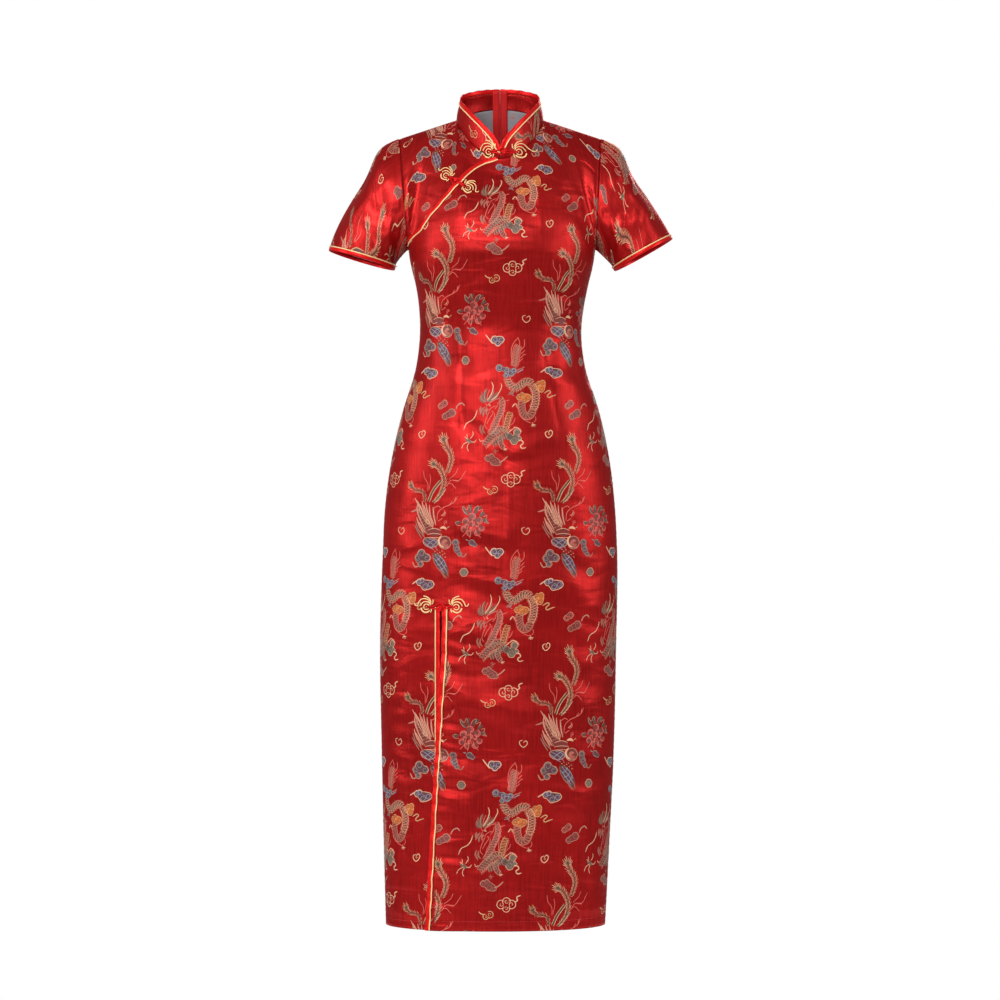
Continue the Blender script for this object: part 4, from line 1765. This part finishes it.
# %% Enamelled metal and lofted plates
def enamel():
    made, tree, shader = start("die_cast_zinc_red_enamel", Roughness=0.28, Metallic=0.35, Coat_Weight=0.5,
        Coat_Roughness=0.15)
    spot = add(tree, "ShaderNodeTexCoord", {}).outputs["Object"]
    worn = add(tree, "ShaderNodeTexNoise", {"Vector": spot, "Scale": 700, "Detail": 4})
    dye = add(tree, "ShaderNodeValToRGB", {"Fac": worn},
              stops=((0.3, "#8A0E15"), (0.68, "#A8141C"), (0.8, "#B9837C")))
    orange_peel = add(tree, "ShaderNodeTexNoise", {"Vector": spot, "Scale": 1600, "Detail": 1})
    face(tree, shader, dye, orange_peel, 0.15, 0.0001)
    return made


ENAMEL = enamel()


def plate(name, centre, outline, levels, hole=None):
    """Rings of one outline at levels (depth, inset); with a hole the rings turn back through it."""
    def ring(loop, depth, inset):
        ahead = unit(np.roll(loop, -1, 0) - np.roll(loop, 1, 0))
        inward = np.stack([-ahead[:, 1], ahead[:, 0]], 1)
        inward *= np.where(np.sum(inward * (loop.mean(0) - loop)) < 0, -1, 1)
        flat_ring = loop + inward * inset
        return centre + np.stack([flat_ring[:, 0], np.full(len(loop), depth), flat_ring[:, 1]], 1)

    rings = [ring(outline, *level) for level in levels]
    if hole is not None:
        rings += [ring(hole, depth, -inset) for depth, inset in levels[::-1]]
    n, count = len(outline), len(rings)
    faces = []
    for i in range(count if hole is not None else count - 1):
        for k in range(n):
            m, j = (k + 1) % n, (i + 1) % count
            faces.append((i * n + k, i * n + m, j * n + m, j * n + k))
    if hole is None:
        faces += [tuple(range(n))[::-1], tuple(range((count - 1) * n, count * n))]
    points = np.concatenate(rings)
    made = mesh_object(name, points, faces, np.array([points[v][[0, 2]] for face in faces for v in face]),
        (ENAMEL,), smooth_faces=False)
    tidy = bmesh.new()
    tidy.from_mesh(made.data)
    bmesh.ops.recalc_face_normals(tidy, faces=tidy.faces)
    tidy.to_mesh(made.data)
    tidy.free()
    return made


# %% Slider, bridge and pull
SLIDER_HALF, SLIDER_STAND = (3.2, 1.1, 4.2), 0.85
seat = BACK.points(np.array([0.5]), 1.93, SLIDER_HALF[1] + SLIDER_STAND, fine=False)[0]
shield = pts("0,4.2 1.9,3.9 2.9,3 3.2,1.4 2.9,-0.6 2.5,-2.6 2,-3.8 0,-4.2")
shield = np.concatenate([shield, shield[-2:0:-1] * [-1, 1]])
slider = plate("zip_slider_body", seat, shield, (
    (-1.1, 0.35), (-0.95, 0), (-0.4, 0), (-0.3, 0.6), (0.3, 0.6), (0.4, 0), (0.85, 0),
    (1.1, 0.35)))
pivot = seat + [0, SLIDER_HALF[1] + 1.1, -0.4]
low, high, top = -1.6, 2.4, 1.6
arch = pivot + np.array([(0, -1.4, low), (0, 0.4, low), (0, 1.2, low + 0.12), (0, top, low + 0.6),
                         (0, top, high - 0.6), (0, 1.2, high - 0.12), (0, 0.4, high),
                         (0, -1.4, high)])
bridge = sweep("zip_slider_bridge", arch, np.tile([1, 0, 0], (len(arch), 1)), round_section(0.43, 8),
    ENAMEL)
PULL_OUTLINE = pts(
    "0.45,0 0.45,1.3 -0.2,1.9 -1.9,2 -3.6,1.9 -5.2,1.4 -8,1.7 -13,2.3 -16,2.3 -18,1.6 -19,0")
right = PULL_OUTLINE[:, ::-1]
drop = np.concatenate([right, right[-2:0:-1] * [-1, 1]])
turns = np.linspace(0, 2 * math.pi, len(drop), endpoint=False)
eye = np.stack([1.1 * np.sin(turns), -2 + 1.55 * np.cos(turns)], 1)
PULL = plate("zip_pull_drop", pivot, drop, ((-0.55, 0.18), (-0.4, 0), (0.4, 0), (0.55, 0.18)), eye)
slider = merge("zip_slider_cast", [slider, bridge])
dress(slider, "zip_metal", "zip_slider")
print("pull:", len(PULL.data.polygons), "faces, swinging about", np.round(pivot, 2), "mm")

# %% [markdown]
# ## Camera, light and room
#
# The camera looks level at the middle of the dress from four and a half metres. Satin shows its
# folds only where bright and dark lie side by side in what it mirrors, so the light comes from a
# few soft boxes in a dim room, while the camera itself sees white paper behind the dress. The
# floor lies well below the hem, as the dress hangs from its wearer.

# %% Camera and studio
view = bpy.data.cameras.new("camera")
view.sensor_width, view.lens = 36, 103.85
camera = placed("camera", view)
camera.location, camera.rotation_euler = (0, -4.5, -0.574), (math.pi / 2, 0, 0)
bpy.context.scene.camera = camera

LIGHTS = (  # name, place, aim (metres), width, height (metres), watts
    ("key", (-0.9, -3.2, 1.7), (0, 0, -0.2), 1.3, 0.9, 92),
    ("low_key", (-0.9, -3.4, -0.2), (-0.05, 0, -0.87), 0.8, 0.5, 30),
    ("left_strip", (-2.4, -0.9, 0.3), (0, 0, -0.3), 0.5, 2.2, 30),
    ("right_strip", (2.4, -1.1, 0.25), (0, 0, -0.3), 0.5, 2.2, 30),
    ("back", (0.5, 3, 0.9), (0, 0, -0.5), 1.8, 1.8, 60),
)
for name, place, aim, width, height, power in LIGHTS:
    light = bpy.data.lights.new(name, "AREA")
    light.shape, light.size, light.size_y, light.energy = "RECTANGLE", width, height, power
    lamp = placed(name, light)
    lamp.location = place
    lamp.rotation_euler = (Vector(aim) - Vector(place)).to_track_quat("-Z", "Y").to_euler()

room = bpy.data.worlds.new("pale_room")
room.use_nodes = True
seen_by = add(room.node_tree, "ShaderNodeLightPath").outputs["Is Camera Ray"]
strength = add(room.node_tree, "ShaderNodeMapRange", {"Value": seen_by, "To Min": 0.25, "To Max": 1})
fill(room.node_tree, room.node_tree.nodes["Background"], {"Color": (1, 1, 1, 1), "Strength": strength})
bpy.context.scene.world = room
bpy.context.scene.view_settings.view_transform = "Standard"

paper = start("white_paper_matt", Base_Color=colour("#F4F4F4"), Roughness=0.95)[0]
FLOOR_Z, FLOOR_HALF = -1.66, 1.5
floor_mesh = bpy.data.meshes.new("floor")
floor_mesh.from_pydata([(x * FLOOR_HALF, y * FLOOR_HALF, FLOOR_Z) for y in (-1, 1) for x in (-1, 1)], [],
    [(0, 1, 3, 2)])
floor_mesh.materials.append(paper)
floor = placed("floor", floor_mesh)

# %% [markdown]
# ## Everything rides on the dress
#
# A finished piece says which body it moves with, which plain solids it stands for, and which slot
# of the record its finish comes from. The cloth pieces also state the flat size they were cut to.

# %% Tie the pieces to the frame
for piece, slot, nodes in DRESS:
    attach(piece, "dress")
    if nodes:
        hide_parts(*nodes)
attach(PULL, "pull")
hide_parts("zip_pull")


def cut_of(piece):
    """Width and length of the flat piece, and half the area of its two layers."""
    data = piece.data.uv_layers["flat"].data
    uv = np.empty(2 * len(data))
    data.foreach_get("uv", uv)
    uv = uv.reshape(-1, 2)
    total = 0
    for face in piece.data.polygons:
        x, y = uv[face.loop_start: face.loop_start + face.loop_total].T
        total += abs(np.dot(x, np.roll(y, -1)) - np.dot(y, np.roll(x, -1))) / 2
    width, length = np.ptp(uv, axis=0)
    return (float(width), float(length)), min(total / 2, float(width * length))


SHEETS = [("front_cloth", ["front_figures"]), ("under_cloth", ["under_figures"])]
for kind in ("back", "sleeve", "collar"):
    SHEETS += [(f"{kind}_cloth_{side}", [f"{kind}_figures_{side}"]) for side in SIDES]
SHEETS += [(f"zip_tape_cloth_{side}", []) for side in SIDES]
named = {piece.name: piece for piece, _, _ in DRESS}
for name, others in SHEETS:
    size, area = cut_of(named[name])
    print(f"{name}: cut {size[0] * 1000:.0f} x {size[1] * 1000:.0f} mm, {area * 1e4:.0f} cm2")
for piece in named.values():
    if "_bias_" in piece.name:
        size, _ = cut_of(piece)
